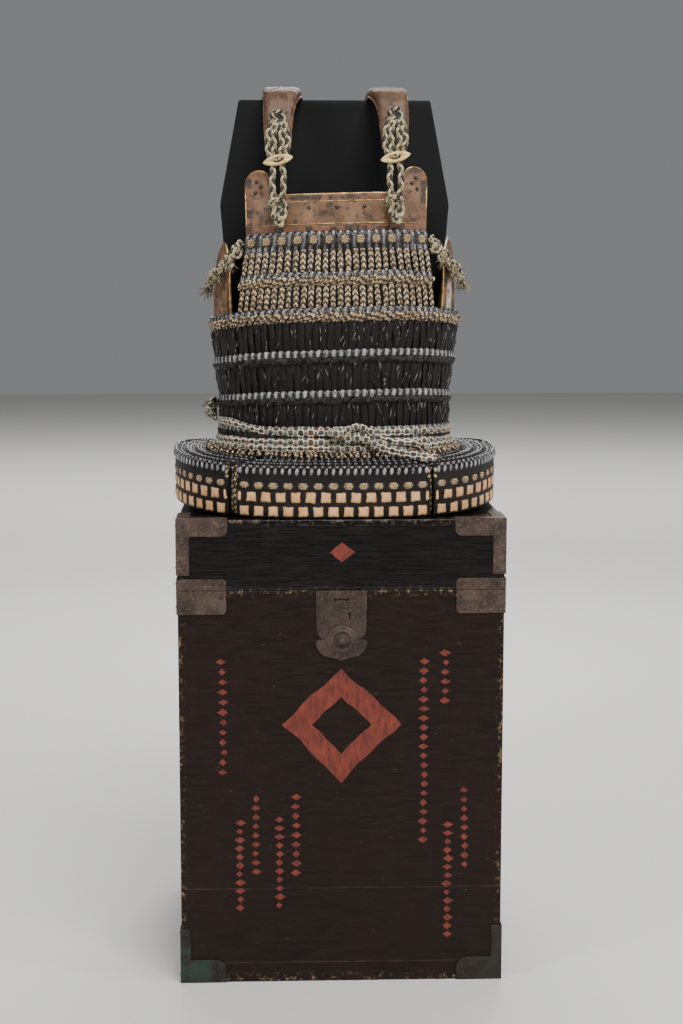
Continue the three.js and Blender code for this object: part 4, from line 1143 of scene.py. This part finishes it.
def toggleBar(side, label):
    # a ring: its outer edge is a pointed spindle, its inner edge the oval slot, and each section an ellipse
    f = toggleForm
    a, b = (np.arange(f[k]) / f[k] * fullTurn for k in ("around", "section"))
    a = a[:, None]
    outer = np.array([f["half"] * np.cos(a), f["high"] * np.sin(a) * np.abs(np.sin(a)) ** 0.45])
    slot = np.array([f["slotHalf"] * np.cos(a), f["slotHigh"] * np.sin(a)])
    x, z = (outer + slot) / 2 + (outer - slot) / 2 * np.cos(b)
    y = f["thick"] * (1 - 0.62 * np.abs(np.cos(a)) ** 5) * np.sin(b)
    c, s = math.cos(f["tilt"]), math.sin(f["tilt"])
    px, (py, ph) = side * cordForm["x"], cordForm["toggle"]
    points = placed(px + x * c - z * s, py - f["proud"] + y, hung(px, ph) + x * s + z * c)
    quads = gridFaces(f["around"], f["section"], True, True)
    putMesh("toggleBone_" + label, bone, points, quads, node="toggle_" + label)


sideTieRun = [(123.5, -88, 357), (131, -93, 347), (142, -90, 336), (159, -74, 322), (170, -51, 308)]


def sideTie(side, label):
    run = [(side * x, y, hung(side * x, h)) for x, y, h in sideTieRun]
    second = [(x + side * 2.0, y - 1.0, h + 3.5) for x, y, h in run]
    plait("sideTieBraid_" + label, [run, second], 2.2, 1.2, 1.6, 13, outward=(side * 0.4, -1, 0),
          node="side_tie_" + label)
    knotBall("sideTieKnots_" + label, run[1:4], (7.2, 4.6, 7.6), 1.7, tones=(0.1, 0.9, 0.3))
    fray("sideTieFray_" + label, cordSilk, run[:1:-1], (side * 0.3, -0.5, -0.5), 12, 0.7, 70, 0.35,
         (0.2, 0.6, 1.0))


for side, label in ((-1, "left"), (1, "right")):
    strap(side, label)
    shoulderCords(side, label)
    toggleBar(side, label)
    sideTie(side, label)
print("shoulders ready")

skirtHem = {"thick": 5, "headPitch": 9.2, "padPitch": 19.2, "padHalf": 6.5, "padHigh": 6.6, "endHalf": 2.7}
skirtSteps = np.array([  # how far from the waist to the outer wall, and the height of the stack there
    (0.08, 67), (0.24, 70.5), (0.26, 66.5), (0.5, 69.5), (0.52, 65), (0.75, 68), (0.77, 63), (0.9, 65.5),
    (1, 65.5)])
frontTasset = {"left": -130, "right": 117, "leftGap": 15, "rightGap": 8, "otherGap": 10}
skirtAround = skirtTables[2][-1]  # the length of the outer wall


def tassetSpans():
    # the front panel is set by its two edges; the other four share what is left, with equal gaps
    f = frontTasset
    left, right = (shareOf(skirtTables[0][-1], f[k]) for k in ("left", "right"))
    gap = f["otherGap"] / skirtAround
    start = right + f["rightGap"] / skirtAround
    each = (1 + left - f["leftGap"] / skirtAround - start - 3 * gap) / 4
    spans = {"front": (left, right)}
    for i, name in enumerate(("left_side", "left_back", "right_back", "right_side")):
        spans[name] = (start + i * (each + gap), start + i * (each + gap) + each)
    return spans


def across(turns, c):
    # a place across a panel, 0 to 1, as a turn round the skirt
    return turns[0] + (turns[1] - turns[0]) * c


def stackHeight(way):
    return np.interp(way, *skirtSteps.T)


hemSection = [(-5, 0.6), (-4.2, 0), (-1, 0), (0, 1.2), (0.2, 12), (0, 24), (0.3, 34), (0, 46), (0.5, 55),
              (0.2, 62), (-1.2, 66), (-4.4, 67), (-5, 66)]  # how far out, and how high above the lid


def hemWall(label, turns, length):
    # a laced wall: closed section (out, h) carried along the panel
    out, h = np.array(hemSection).T
    c = np.linspace(0, 1, max(24, int(length / 3)))[:, None]
    wave = 0.35 * wobble(c * length / 60, 31) + 0.25 * wobble(c * length / 9 + h / 16, 8)
    rings = skirtPoint(across(turns, c), 1.0, h, out + np.where(out > -1, wave, 0))
    uv = stacked(c * length * mm, h * mm)
    loft("hemWall_" + label, darkSilk, rings, uv, "tasset_hem_" + label)


def hemPads(label, turns, length):
    # what covers the wall: two rows of scale heads, rosettes, two rows of leather pads, and their end halves
    f = skirtHem
    pitch = (turns[1] - turns[0]) / length
    heads, pads = int(round(length / f["headPitch"])), int(round(length / f["padPitch"]))
    pad = {"half": (f["padHalf"], f["padHigh"]), "thick": 1.1, "around": 20, "square": 9.0, "uneven": 1.0}
    head = {"around": 10, "rings": 3}
    crest = {"half": (3.0, 2.0), "thick": 1.6, "square": 2.6, "sink": 2.5, "shine": 0.45, **head}
    low = {"half": (2.7, 5.4), "thick": 2.2, "square": 2.4, "sink": 0.5, "shine": 0.8, **head}
    low["tilt"] = rng.normal(-0.16, 0.05)
    rows = [  # name, finish, height, how many, shift, form
        ("HeadsTop", urushi, 66.2, heads, 0.5, crest),
        ("HeadsLow", urushi, 60.6, heads, 0, low),
        ("Rosettes", printedRosette, 41.8, pads, 0, {"half": (7.0, 4.2), "thick": 1.2, "square": 3.0}),
        ("PadsUpper", buff, 27.2, pads, 0.5, pad),
        ("PadsLower", buff, 8.9, pads, 0, pad),
    ]

    def onWall(along, h, out):
        return skirtPoint(turns[0] + along * pitch, 1.0, h, out)
    for name, finish, height, count, shift, form in rows:
        c = (np.arange(count) + 0.5 + shift) / count
        spots = [(x * length, height) for x in c[(c > 0.004) & (c < 0.996)]]
        flatPads("hem" + name + "_" + label, finish, onWall, spots, **form)
    ends = [(2.6, 27.2), (length - 2.6, 27.2)]
    flatPads("hemPadsEnd_" + label, buff, onWall, ends, (f["endHalf"], f["padHigh"]), 1.1)


def hemEdges(label, turns):
    # cords that bind both upright edges: dark, with a pale stretch at the top
    steps = np.linspace(1.5, 64, 26)
    ends = np.array(turns)[:, None]
    inward = np.array([[0.9], [-0.9]]) / skirtAround
    for kind, low, high, finish in (("Dark", 0, 20, darkSilk), ("Pale", 19, 26, paleSilk)):
        h = steps[low:high][None, :]
        path = skirtPoint(ends + inward, 1.0, h, -1.2 + wobble(h / 7 + ends * 50, 3) * 0.5)
        outward = skirtPoint(ends, 1.0, h, 9) - skirtPoint(ends, 1.0, h, 0)
        wide = 2.3 + 0.5 * wobble(h / 2.1, 12)
        strandMesh("hemEdge" + kind + "_" + label, finish, path, outward, wide, wide, 8)


def tassetStack(label, turns, length):
    # the folded tiers: each slopes up outward and steps down to the next; the section is (way, height, out)
    inner = -skirtHem["thick"] - 0.6
    tiers = [(w, h, 0.0) for w, h in [(0.08, 30), (0.08, 64), (0.1, 67.4), *skirtSteps[1:8]]]
    way, h, out = np.array(tiers + [(1.0, 64.6, inner), (1.0, 0.3, inner), (0.08, 0.3, 0.0)]).T
    c = np.linspace(0, 1, max(20, int(length / 5)))[:, None]
    soft = 0.5 * wobble(c * 30 + way * 7, 17) * (h > 60)
    rings = skirtPoint(across(turns, 0.002 + 0.996 * c), way, h + soft, out)
    uv = stacked(c * length * mm, way * 60 * mm)
    loft("tassetTiers_" + label, darkSilk, rings, uv, "tasset_stack_" + label)


tierForm = {"headPitch": 8.6, "lacePitch": 6.5, "deep": 62,
            "heads": [(0.205, 0), (0.135, 0.5), (0.465, 0), (0.395, 0.5), (0.715, 0), (0.645, 0.5),
                      (0.86, 0)],  # way and shift of each row
            "laces": [(0.27, 0.37), (0.53, 0.62), (0.78, 0.835)]}  # from way to way


def tierHeads(label, turns):
    # two staggered rows of scale heads near the outer edge of each tier, and short laces between the tiers
    f = tierForm

    def aroundAt(way):
        return np.interp(way, skirtLevels, skirtTables[2])

    def onTiers(centres, u, v, out):
        way = centres[:, 1:2] + v / f["deep"]
        return skirtPoint(centres[:, :1] + u / aroundAt(way), way, stackHeight(way) + out, 0)
    spots = []
    for way, shift in f["heads"]:
        count = int(round(aroundAt(way) * (turns[1] - turns[0]) / f["headPitch"]))
        c = (np.arange(count) + 0.25 + shift * 0.5) / count
        spots += zip(across(turns, c), np.full(count, way))
    padField("tierHeads_" + label, urushi, onTiers, spots, (2.6, 2.3), 1.9, 8, 2.4, 0.5, 0.35, 3, 0.42)
    paths = []
    for low, high in f["laces"]:
        total = aroundAt(low)
        count = int(round(total * (turns[1] - turns[0]) / f["lacePitch"]))
        c = (np.arange(count)[:, None] + 0.5 + rng.normal(0, 0.14, (count, 1))) / count
        way = np.linspace(low, high, 5)[None, :]
        c = c + 0.5 * (way - low) * f["lacePitch"] / total
        paths.append(skirtPoint(across(turns, np.clip(c, 0.002, 0.998)), way, stackHeight(way) + 0.9, 0))
    paths = np.concatenate(paths)
    up = np.broadcast_to([0, 0, 1.0], paths.shape)
    strandMesh("tierLaces_" + label, darkSilk, paths, up, 2.5, 1.1, 7, 2.4)


def gapBraids(spans):
    # brown braids that climb each gap between the panels and run inward over its top
    h = np.concatenate([np.linspace(3, 58, 13), [61.5, 62.5], np.linspace(62, 66, 12)])
    way = np.concatenate([np.full(14, 1.0), [0.97], np.linspace(0.9, 0.1, 12)])
    wall = np.where(way > 0.99, 1.0, 0.0)
    paths, ahead = [], []
    for i in range(5):
        gap = (spans[i][1], spans[(i + 1) % 5][0] + (i == 4))
        for k in (0.18, 0.5, 0.82):
            turn = across(gap, k)
            sway = 0.00035 * wobble(h / 5 + way * 9, int(100 * k))
            paths.append(skirtPoint(turn + sway, way, h, (-9.0 - 2 * k) * wall))
            ahead.append(skirtPoint(turn, way, h + 7 * (1 - wall), -2.0 * wall))
    strandMesh("gapBraids", paleSilk, np.array(paths), np.array(ahead) - paths, 2.4, 1.5, 8, tone=0.35)


for label, turns in tassetSpans().items():
    panelLength = skirtAround * (turns[1] - turns[0])
    hemWall(label, turns, panelLength)
    hemPads(label, turns, panelLength)
    hemEdges(label, turns)
    tassetStack(label, turns, panelLength)
    tierHeads(label, turns)
gapBraids(list(tassetSpans().values()))

hangingForm = {
    "ground": [(-4, 75.5), (-2, 76.6), (0.5, 77), (7, 76.2), (14, 74.5), (18, 72.6), (19, 71.4), (17, 71),
               (15, 71), (8, 72), (2, 73), (-2, 74)],  # how far out, and how high
    "top": [(0, 78.6), (7, 78.2), (14, 76.8), (18, 74.6), (20, 72.2)],  # what the short runs lie on
    "steps": 150, "around": 930, "reach": 21.5,
    "laces": [("hangingPale", 168, 7.0, paleSilk, 2.2), ("hangingBrown", 150, -4.0, darkSilk, 1.7)],
}


def flared(turn, out, h):
    # round the body, rising at the sides with the skirt as it goes out
    turn, out, h = floats(turn, out, h)
    points = bodyPoint(turn, h, out)
    points[..., 2] += skirtLift(points[..., 0] / mm - armourX) * np.clip(out / 14, 0, 1) * mm
    return points


def hangingLaces():
    # the laces the skirt hangs from: a soft ground, and short runs over it that drift sideways as they go out
    f = hangingForm
    out, h = np.array(f["ground"]).T
    turn = np.arange(f["steps"])[:, None] / f["steps"]
    uv = stacked(turn * f["around"] * mm, out * mm)
    quads = gridFaces(f["steps"], len(out), True, True)
    putMesh("hangingGround", darkSilk, flared(turn, out, h), quads, uv=uv, node="hanging_lace")
    for name, count, lean, finish, wide in f["laces"]:
        t = np.linspace(0, 1, 7)[None, :]
        turns = (np.arange(count)[:, None] + 0.5 + rng.normal(0, 0.2, (count, 1))) / count
        turns = turns + (lean * (t - 0.3) + rng.normal(0, 2.0, (count, 1)) * t) / f["around"]
        out = -0.5 + f["reach"] * t + rng.normal(0, 0.5, (count, 1))
        h = np.interp(out, *np.array(f["top"]).T) + rng.normal(0, 0.35, (count, 1))
        path = flared(turns, out, h)
        strandMesh(name, finish, path, flared(turns, out + 0.6, h + 1) - path, wide, 1.4, 7)


hangingLaces()
print("skirt ready")

cloth = {"thick": 1.6, "puff": 2.4, "around": 0.915, "steps": 260,
         "creases": ((23, 3.1, 0.4), (37, -2.2, 1.9), (61, 4.4, 0.2))}  # rate along, rate across, start
beltTurns = [
    {"name": "belt_turn_upper", "h": 104, "width": 13.0, "out": 6.2, "left": 14, "right": -1.5, "folds": 3},
    {"name": "belt_turn_middle", "h": 91, "width": 10.5, "out": 6.2, "left": -1, "right": -1, "folds": 2},
    {"name": "belt_turn_lower", "h": 82.8, "width": 10.5, "out": 8.2, "left": 1, "right": 1, "folds": 2},
]
beltEnds = [  # x, height and how far out, on the front
    {"name": "beltEndShort", "width": 9, "run": [
        (4, 105, 14), (15, 109, 13), (26, 112, 10.5), (38, 108.5, 10), (50, 99, 10), (72, 91, 11.5),
        (101, 87, 12.5), (113, 80, 13)]},
    {"name": "beltEndLong", "width": 14, "run": [
        (3, 100, 14), (16, 97, 14.5), (31, 97, 14.5), (46, 90, 15), (60, 83, 18), (75, 78.5, 32),
        (88, 76, 50), (99, 74, 64)]},
]
beltBow = {  # share of the way round, height and how far out
    "middle": (-0.238, 142, 12),
    "loops": [[(-0.2335, 116, 9), (-0.236, 128, 12), (-0.241, 143, 14), (-0.247, 155, 12), (-0.252, 150, 9),
               (-0.249, 136, 10), (-0.242, 124, 11)],
              [(-0.236, 118, 10), (-0.234, 130, 16), (-0.236, 145, 19), (-0.241, 150, 15), (-0.243, 140, 12)],
              [(-0.24, 121, 10), (-0.247, 126, 15), (-0.254, 131, 14), (-0.259, 125, 10)]],
    "ravelled": [(-0.241, 146, 15), (-0.25, 148, 12), (-0.256, 132, 13)],
}


def clothRing(puff, count):
    # across the band: the front bulges by cos(pi v / 2)^0.8, its edges roll back
    v = np.linspace(-1, 1, count)
    return v, puff * np.cos(v * np.pi / 2) ** 0.8 - 0.6 * np.abs(v) ** 6


def beltTurn(turn):
    # a band round the waist, front and back faces: creases, two or three long folds and a little pinching
    n, w, seed = cloth["steps"], turn["width"] / 2, int(turn["h"])
    share = np.arange(n)[:, None] / n
    x = bodyPoint(share, turn["h"], 0)[..., 0] / mm - armourX
    middle = turn["h"] + np.where(x < 0, turn["left"], turn["right"]) * smoothStep(np.abs(x), 80, 158)
    v, bulge = clothRing(cloth["puff"], 15)
    s = share * fullTurn
    crease = sum(0.55 * np.sin(s * k + v * q + start) for k, q, start in cloth["creases"]) / 1.6
    pinch = 0.16 * np.sin(s * 7 + seed) + 0.1 * np.sin(s * 17 + 2 * seed)
    fold = np.cos(np.pi * turn["folds"] * v + 1.2 * np.sin(s * 5 + seed)) * 0.65
    face = turn["out"] - 1.0 + bulge * (1 + 0.25 * np.sin(s * 9 + seed)) + (crease + fold) * (1 - v ** 4)
    h = middle + v * w * (1 + pinch)
    outs, hs = closedSection((face, np.maximum(face - cloth["thick"], turn["out"] - 1.4)), (h, h - 0.05))
    across = np.concatenate([v, v[::-1]]) * w
    uv = stacked(share * 0.912, across * 1.25 * mm)
    piece = putMesh(turn["name"] + "_cloth", beltCotton, bodyPoint(share, hs, outs),
                    gridFaces(n, 2 * len(v), True, True), uv=uv, node=turn["name"])


def ribbonPiece(name, path, side, face, back, across, node=None):
    # a strip of the belt's cloth: how far out its faces are from a path in mm, and how far across each point
    normal = unit(np.cross(unit(np.gradient(path, axis=0)), side))
    out, width = closedSection((face, back), (across, across))
    rings = (path[:, None] + side[:, None] * width[..., None] + normal[:, None] * out[..., None]) * mm
    length = lengthAlong(path)[-1] * mm
    uv = stacked(np.linspace(0, length, len(path))[:, None], width * 1.2 * mm)
    return loft(name, beltCotton, rings, uv, node), length


def beltEnd(end):
    # a folded ribbon: upright on the body, turning flat as it runs out over the skirt; soft ridges along it
    path = smoothPath(facePoint(*np.array(end["run"], float).T) / mm, 90)
    lying = smoothStep(-path[:, 1] - 121, 20, 45)[:, None] * 1.3
    facing = np.concatenate([0 * lying, -np.cos(lying), np.sin(lying)], 1)
    v, bulge = clothRing(2.0, 13)
    s = np.linspace(0, 1, 90)[:, None]
    w = end["width"] / 2 * (1 + 0.12 * np.sin(s * 15) + 0.08 * np.sin(s * 31)) * (1 - 0.25 * np.exp(-s * 16))
    ridges = 0.8 * np.cos(2.6 * np.pi * v + 2.2 * np.sin(s * 7)) * (1 - v ** 4)
    face = bulge + ridges + 0.5 * np.sin(s * 40 + 3 * v)
    side = unit(np.cross(facing, unit(np.gradient(path, axis=0))))
    piece, length = ribbonPiece(end["name"], path, side, face, np.maximum(face - cloth["thick"], -1.2), v * w)


def bowLoop(name, knots, width, centre, node):
    # a strip whose face turns away from the bow's middle; its edges curl by cos(2 pi v + 3 s)
    path = smoothPath(knots, 60)
    side = unit(np.cross(path - centre, unit(np.gradient(path, axis=0))))
    v, s = np.linspace(-1, 1, 11), np.linspace(0, 1, 60)[:, None]
    lift = 1.3 * (np.cos(2 * np.pi * v + 3 * s) + 0.5 * np.sin(9 * s + 2 * v))
    across = v * width / 2 * (1 + 0.15 * np.sin(7 * s))
    piece, length = ribbonPiece(name, path, side, lift + 0.5, lift - 0.5, across, node)


def beltKnot(centre, size, seed):
    # a closed crumpled puff: r = 1 + folds, a sum of sines over the sphere
    a = np.linspace(0, np.pi, 26)[:, None]
    b = np.linspace(0, fullTurn, 44, endpoint=False)[None, :]
    r = (1 + 0.08 * np.sin(5 * b + 3 * a + seed) * np.sin(a) + 0.05 * np.sin(9 * b - 4 * a) * np.sin(a)
         + 0.04 * np.sin(7 * a + 2 * b))
    ball = stacked(r * np.sin(a) * np.cos(b), r * np.sin(a) * np.sin(b), r * np.cos(a))
    uv = stacked(b * size[0] * mm, a * size[2] * mm)
    piece = loft("beltKnotPuff", beltCotton, (ball * size + centre)[1:-1] * mm, uv[1:-1], "belt_knot")


def fromPlaced(points):
    # back from the frame's metres to the armour's own millimetres
    return (points - placed(0.0, 0.0, 0.0)) / mm


for turn in beltTurns:
    beltTurn(turn)
beltKnot(facePoint(1.0, 104.0, 14.0) / mm, (12, 6.5, 8.5), 2)
for end in beltEnds:
    beltEnd(end)
bowMiddle = bodyPoint(*beltBow["middle"]) / mm
for k, loop in enumerate(beltBow["loops"]):
    knots = bodyPoint(*np.array(loop).T) / mm
    bowLoop("beltBowLoop" + str(k), knots, 8.5 - 0.4 * k, bowMiddle, None if k else "belt_bow")
ravelled = fromPlaced(bodyPoint(*np.array(beltBow["ravelled"]).T))
fray("beltBowThreads", beltCotton, ravelled, (-0.8, -0.5, 0.1), 10, 0.9, 40, 0.4)
for k, end in enumerate(beltEnds):
    before, tip = facePoint(*np.array(end["run"][-2:], float).T)
    fray("beltEndThreads" + str(k), beltCotton, [fromPlaced(tip)], unit(tip - before) * 1.5, 5, 0.5, 34, 0.35)
print("belt ready")

boardForm = {"y": -22, "thick": 24, "round": 2.0, "foot": (230, 150, 12), "footRound": 3.0,
             "outline": [(12, 138), (250, 138), (340, 149), (404, 154), (541, 128)]}  # height, half width


def roundedPlan(halfX, halfY, radius, inset=0.0):
    # a rectangle with round corners at each level: half sizes from the middle, less the inset
    a = np.linspace(0, np.pi / 2, 4)
    corner = stacked(np.cos(a), np.sin(a)) * radius
    plan = []
    for sx, sy in ((1, 1), (-1, 1), (-1, -1), (1, -1)):
        arc = corner[::sx * sy]
        plan.append(np.stack(np.broadcast_arrays(sx * (halfX - inset - radius + arc[:, 0]),
                                                 sy * (halfY - inset - radius + arc[:, 1])), -1))
    return np.concatenate(plan, 1)


def boardPiece(name, plan, heights, node=None):
    loft(name, boardBlack, placed(plan[..., 0], plan[..., 1] + boardForm["y"], heights[:, None]), node=node)


def buildBoard():
    f = boardForm
    heights = np.concatenate([[540.8, 539], np.linspace(534, 14, 60)])
    halves = np.interp(heights, *np.array(f["outline"], float).T)
    halves[0] -= 2  # the top edge is eased
    plan = roundedPlan(halves[:, None], f["thick"] / 2, f["round"])
    boardPiece("boardBlack", plan, heights, "support_board")
    width, deep, high = f["foot"]
    inset = np.array([[1.0], [0.0], [0.0], [1.0]])
    plan = roundedPlan(width / 2, deep / 2, f["footRound"], inset)
    boardPiece("boardFoot", plan, np.array([0.2, 0.8, high - 1, high]))


buildBoard()

boxForm = {"half": 210, "seam": 523, "height": 614, "wall": 12, "round": 1.6, "proud": 1.75, "wornReach": 9}


def quarterTurned(x, y, quarters):
    # turned about the box's middle by so many quarters
    a = np.asarray(quarters) * np.pi / 2
    return x * np.cos(a) - y * np.sin(a), x * np.sin(a) + y * np.cos(a)


def shellBox(name, finish, node, levels, fromEnds):
    # square rings with rounded corners, from the middle of the closed end round the rim and back inside
    half, r = boxForm["half"], boxForm["round"]
    edge = np.array([0, 2, 5, 9, 15, 26, 45, 80, 130, 180])  # crowded towards the corners
    side = mirrored(np.concatenate([[0], (half - r - edge)[::-1]]))
    a = np.linspace(0, np.pi / 2, 5)[1:-1]
    inset, z = np.array(levels, float).T
    h = half - inset[:, None]
    straight = side * (h - r) / (half - r)
    x = np.concatenate([straight, h - r + r * np.sin(a)], 1)
    y = np.concatenate([-h + 0 * straight, r - h - r * np.cos(a)], 1)
    x, y = (np.concatenate(q, 1) for q in zip(*(quarterTurned(x, y, quarters) for quarters in range(4))))
    z = np.broadcast_to(z[:, None], x.shape)
    near = np.minimum(half - np.minimum(np.abs(x), np.abs(y)), fromEnds(z))
    worn = np.clip(1 - near / boxForm["wornReach"], 0, 1) * (inset < 1)[:, None]
    loft(name, finish, stacked(x, y, z) * mm, node=node, worn=worn)


def buildBox():
    seam, wall, top = boxForm["seam"], boxForm["wall"], boxForm["height"]
    body = [(200, 0), (8, 0), (0.6, 0), (0, 0.8),
            *((0, z) for z in (3, 8, 15, 26, 60, 130, 220, 320, 420, 480, seam - 15, seam - 8, seam - 4)),
            (0, seam - 1), (0.7, seam - 0.3), (wall - 0.6, seam - 0.3), (wall, seam - 1), (wall, wall + 1),
            (wall + 1, wall), (205, wall)]
    shellBox("boxBodyBoards", wood, "box_body", body, lambda z: np.minimum(z * 0.8, seam - z))
    lid = [(205, top - wall), (wall + 1, top - wall), (wall, top - wall - 1), (wall, seam + 1),
           (wall - 0.6, seam), (0.7, seam), (0, seam + 0.7),
           *((0, z) for z in (seam + 4, seam + 10, seam + 30, seam + 60, top - 18, top - 9, top - 4)),
           (0, top - 0.9), (0.8, top), *((inset, top) for inset in (4, 9, 16, 30, 60, 120, 190))]
    shellBox("boxLidBoards", lidBlack, "box_lid", lid, lambda z: np.minimum(top - z, z - seam + 4))


buildBox()

ironForm = {"round": 0.35, "corners": ("front_left", "front_right", "back_right", "back_left"),
            # verdigris, and how much darker
            "kinds": {"lid_iron": (0, 0), "lid_rim_iron": (0, 0), "rim_iron": (0, 0), "foot_iron": (0.25, 1)}}


def softEdged(node, verdigris, sooty):
    # a merged copy of a plate with a small round on its edges
    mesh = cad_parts[node].data.copy()
    work = bmesh.new()
    work.from_mesh(mesh)
    bmesh.ops.remove_doubles(work, verts=work.verts, dist=1e-5)
    bmesh.ops.dissolve_limit(work, angle_limit=math.radians(2), verts=work.verts, edges=work.edges)
    sharp = [e for e in work.edges if e.is_manifold and e.calc_face_angle(0) > math.radians(50)]
    bmesh.ops.bevel(work, geom=sharp, offset=ironForm["round"] * mm, segments=2, affect="EDGES", profile=0.5)
    bmesh.ops.recalc_face_normals(work, faces=work.faces)
    bmesh.ops.triangulate(work, faces=work.faces)
    work.to_mesh(mesh)
    work.free()
    for key, value in (("verdigris", verdigris), ("sooty", sooty)):
        putAttribute(mesh, key, np.full(len(mesh.vertices), value))
    addPiece("forged_" + node, mesh, iron, node)


for kind, (green, soot) in ironForm["kinds"].items():
    for corner in ironForm["corners"]:
        node = kind + "_" + corner
        softEdged(node, 1.0 if node == "foot_iron_front_left" else green, soot)
softEdged("lock_plate", 0.0, 0.45)


def boxNails():
    # round nail heads on the irons: (from the corner, height) on both faces of each of the four corners
    f, seam, top = boxForm, boxForm["seam"], boxForm["height"]
    spots = [(8, top - 8), (58, top - 9), (9, top - 62), (8, seam + 8), (56, seam + 8), (8, seam - 22),
             (56, seam - 9), (9, 9), (50, 9), (7, 66)]
    centres = [(side * (f["half"] - d), z, q) for q in range(4) for side in (-1, 1) for d, z in spots]

    def onBoards(centre, u, v, out):
        x, y = quarterTurned(centre[:, :1] + u, -(f["half"] + f["proud"] + out), centre[:, 2:])
        return stacked(x, y, centre[:, 1:2] + v) * mm
    padField("boxNails", nailIron, onBoards, centres, (1.7, 1.7), 1.0, 10, 2.0, 0.4, 0.0, 3)


boxNails()

lockForm = {
    "proud": 0.3, "boss": (1, 456.7), "around": 48, "soot": 0.25, "sunk": 1.4,
    "bossProfile": [(0.6, 9.2), (2.6, 8.8), (4.6, 7.4), (6.0, 5.2), (6.6, 3.9), (8.4, 3.2), (10.4, 3.1),
                    (11.6, 3.4), (12.4, 4.3), (13.6, 4.5), (14.8, 3.9), (15.6, 2.9), (17.4, 2.5), (19.2, 2.2),
                    (19.8, 1.3), (19.6, 0.2), (1.0, 0.1)],  # radius, how far proud
    "hollows": [(-8, 511, 2.0, 2.0), (8, 511, 2.0, 2.0), (0, 511, 8.5, 0.9), (10.5, 492, 1.9, 2.1),
                (10.5, 488, 0.8, 4.2)],  # x, height, half sizes
}


def lockFittings():
    # the boss is turned; the staple's slot with its two ends and the keyhole are shallow black patches: in
    # the slot and the keyhole they are painted shade standing for the holes
    f = lockForm
    face = -(boxForm["half"] + f["proud"])
    a = np.arange(f["around"]) / f["around"] * fullTurn
    r, out = (q[:, None] for q in np.array(f["bossProfile"]).T)
    x, z = f["boss"]
    rings = stacked(x + r * np.cos(a), face - out, z + r * np.sin(a)) * mm
    loft("lockBoss", iron, rings, sooty=np.full(rings.shape[:2], f["soot"]))

    def onLock(x, z, out):
        return stacked(x, face - f["sunk"] - out, z) * mm
    # painted shade: black patches stand for the holes of the slot and the keyhole
    for i, (x, z, halfU, halfV) in enumerate(f["hollows"]):
        flatPads("lockHollow" + str(i), (boardBlack[0], "iron"), onLock, [(x, z)], (halfU, halfV), 0.15,
                 around=14, square=2.6, sink=0.3, tilt=0.0, rings=3)


lockFittings()
print("box ready")

paintForm = {
    "large": [(0, 346, 77, 75, 0.5), (1, 572, 16, 13, 0.01)],  # x, height, half sizes, hollow share
    "columns": [  # x, from, to, count
        (-154, 430, 284, 8), (-112, 248, 150, 6), (-133, 216, 101, 7), (-59, 250, 148, 6), (-81, 220, 104, 7),
        (107, 429, 191, 13), (134, 440, 377, 4), (161, 257, 157, 6), (139, 211, 62, 9)],
    "crowd": 1.6, "proud": 0.22, "sunk": -0.05, "around": 32,
}


def paintLozenges():
    # |u/a| + |v/b| = 1 rings, out to in, a hair proud of the boards; the thin back closes each patch
    f, n = paintForm, paintForm["around"]
    spots = list(f["large"])
    for x, top, low, count in f["columns"]:
        spots += [(x + rng.normal(0, 0.6), z, rng.uniform(4.2, 7.5), rng.uniform(3.6, 5.2), 0.01)
                  for z in np.linspace(top, low, int(count * f["crowd"]))]
    x, z, a, b, hollow = (q[:, None, None] for q in np.array(spots).T)
    along = np.arange(n) / n * 4
    corners = np.array([(1, 0), (0, 1), (-1, 0), (0, -1), (1, 0)])
    k = along.astype(int)
    rimU, rimV = (corners[k] + (corners[k + 1] - corners[k]) * (along - k)[:, None]).T
    wave = 1 + 0.03 * np.sin(along * 5 + x) + 0.02 * np.sin(along * 13 + z)
    inner = np.array([0, 0, 1, 1])[:, None]
    scale = (1 - inner + inner * hollow) * wave
    out = np.array([f["sunk"], f["proud"], f["proud"], f["sunk"]])[:, None]
    u, v = rimU * a * scale, rimV * b * scale
    points = stacked(x + u, -boxForm["half"] - out, z + v) * mm
    quads = gridFaces(4, n, True, True) + (np.arange(len(spots)) * 4 * n)[:, None, None]
    piece = putMesh("frontPaint", vermilion, points, quads)
    piece.data.polygons.foreach_set("use_smooth", np.zeros(len(piece.data.polygons), bool))


paintLozenges()
print("paint ready")

floorForm = {"half": 12.0, "z": -0.0006}


def paleFloor():
    # a pale matt floor, with hardly any pattern
    add, finish, at = startMaterial("pale studio floor", "floor", 0.8)
    made, _ = finish(add("mix", add("noise", at, 700.0), "#d6d4d0", "#dad9d5"))
    half = floorForm["half"]
    corners = [(x * half, y * half, floorForm["z"]) for x, y in ((-1, -1), (1, -1), (1, 1), (-1, 1))]
    mesh = bpy.data.meshes.new("floor")
    mesh.from_pydata(corners, [], [(0, 1, 2, 3)])
    mesh.materials.append(made)
    floor = bpy.data.objects.new("floor", mesh)
    bpy.context.collection.objects.link(floor)


paleFloor()
print("floor ready")
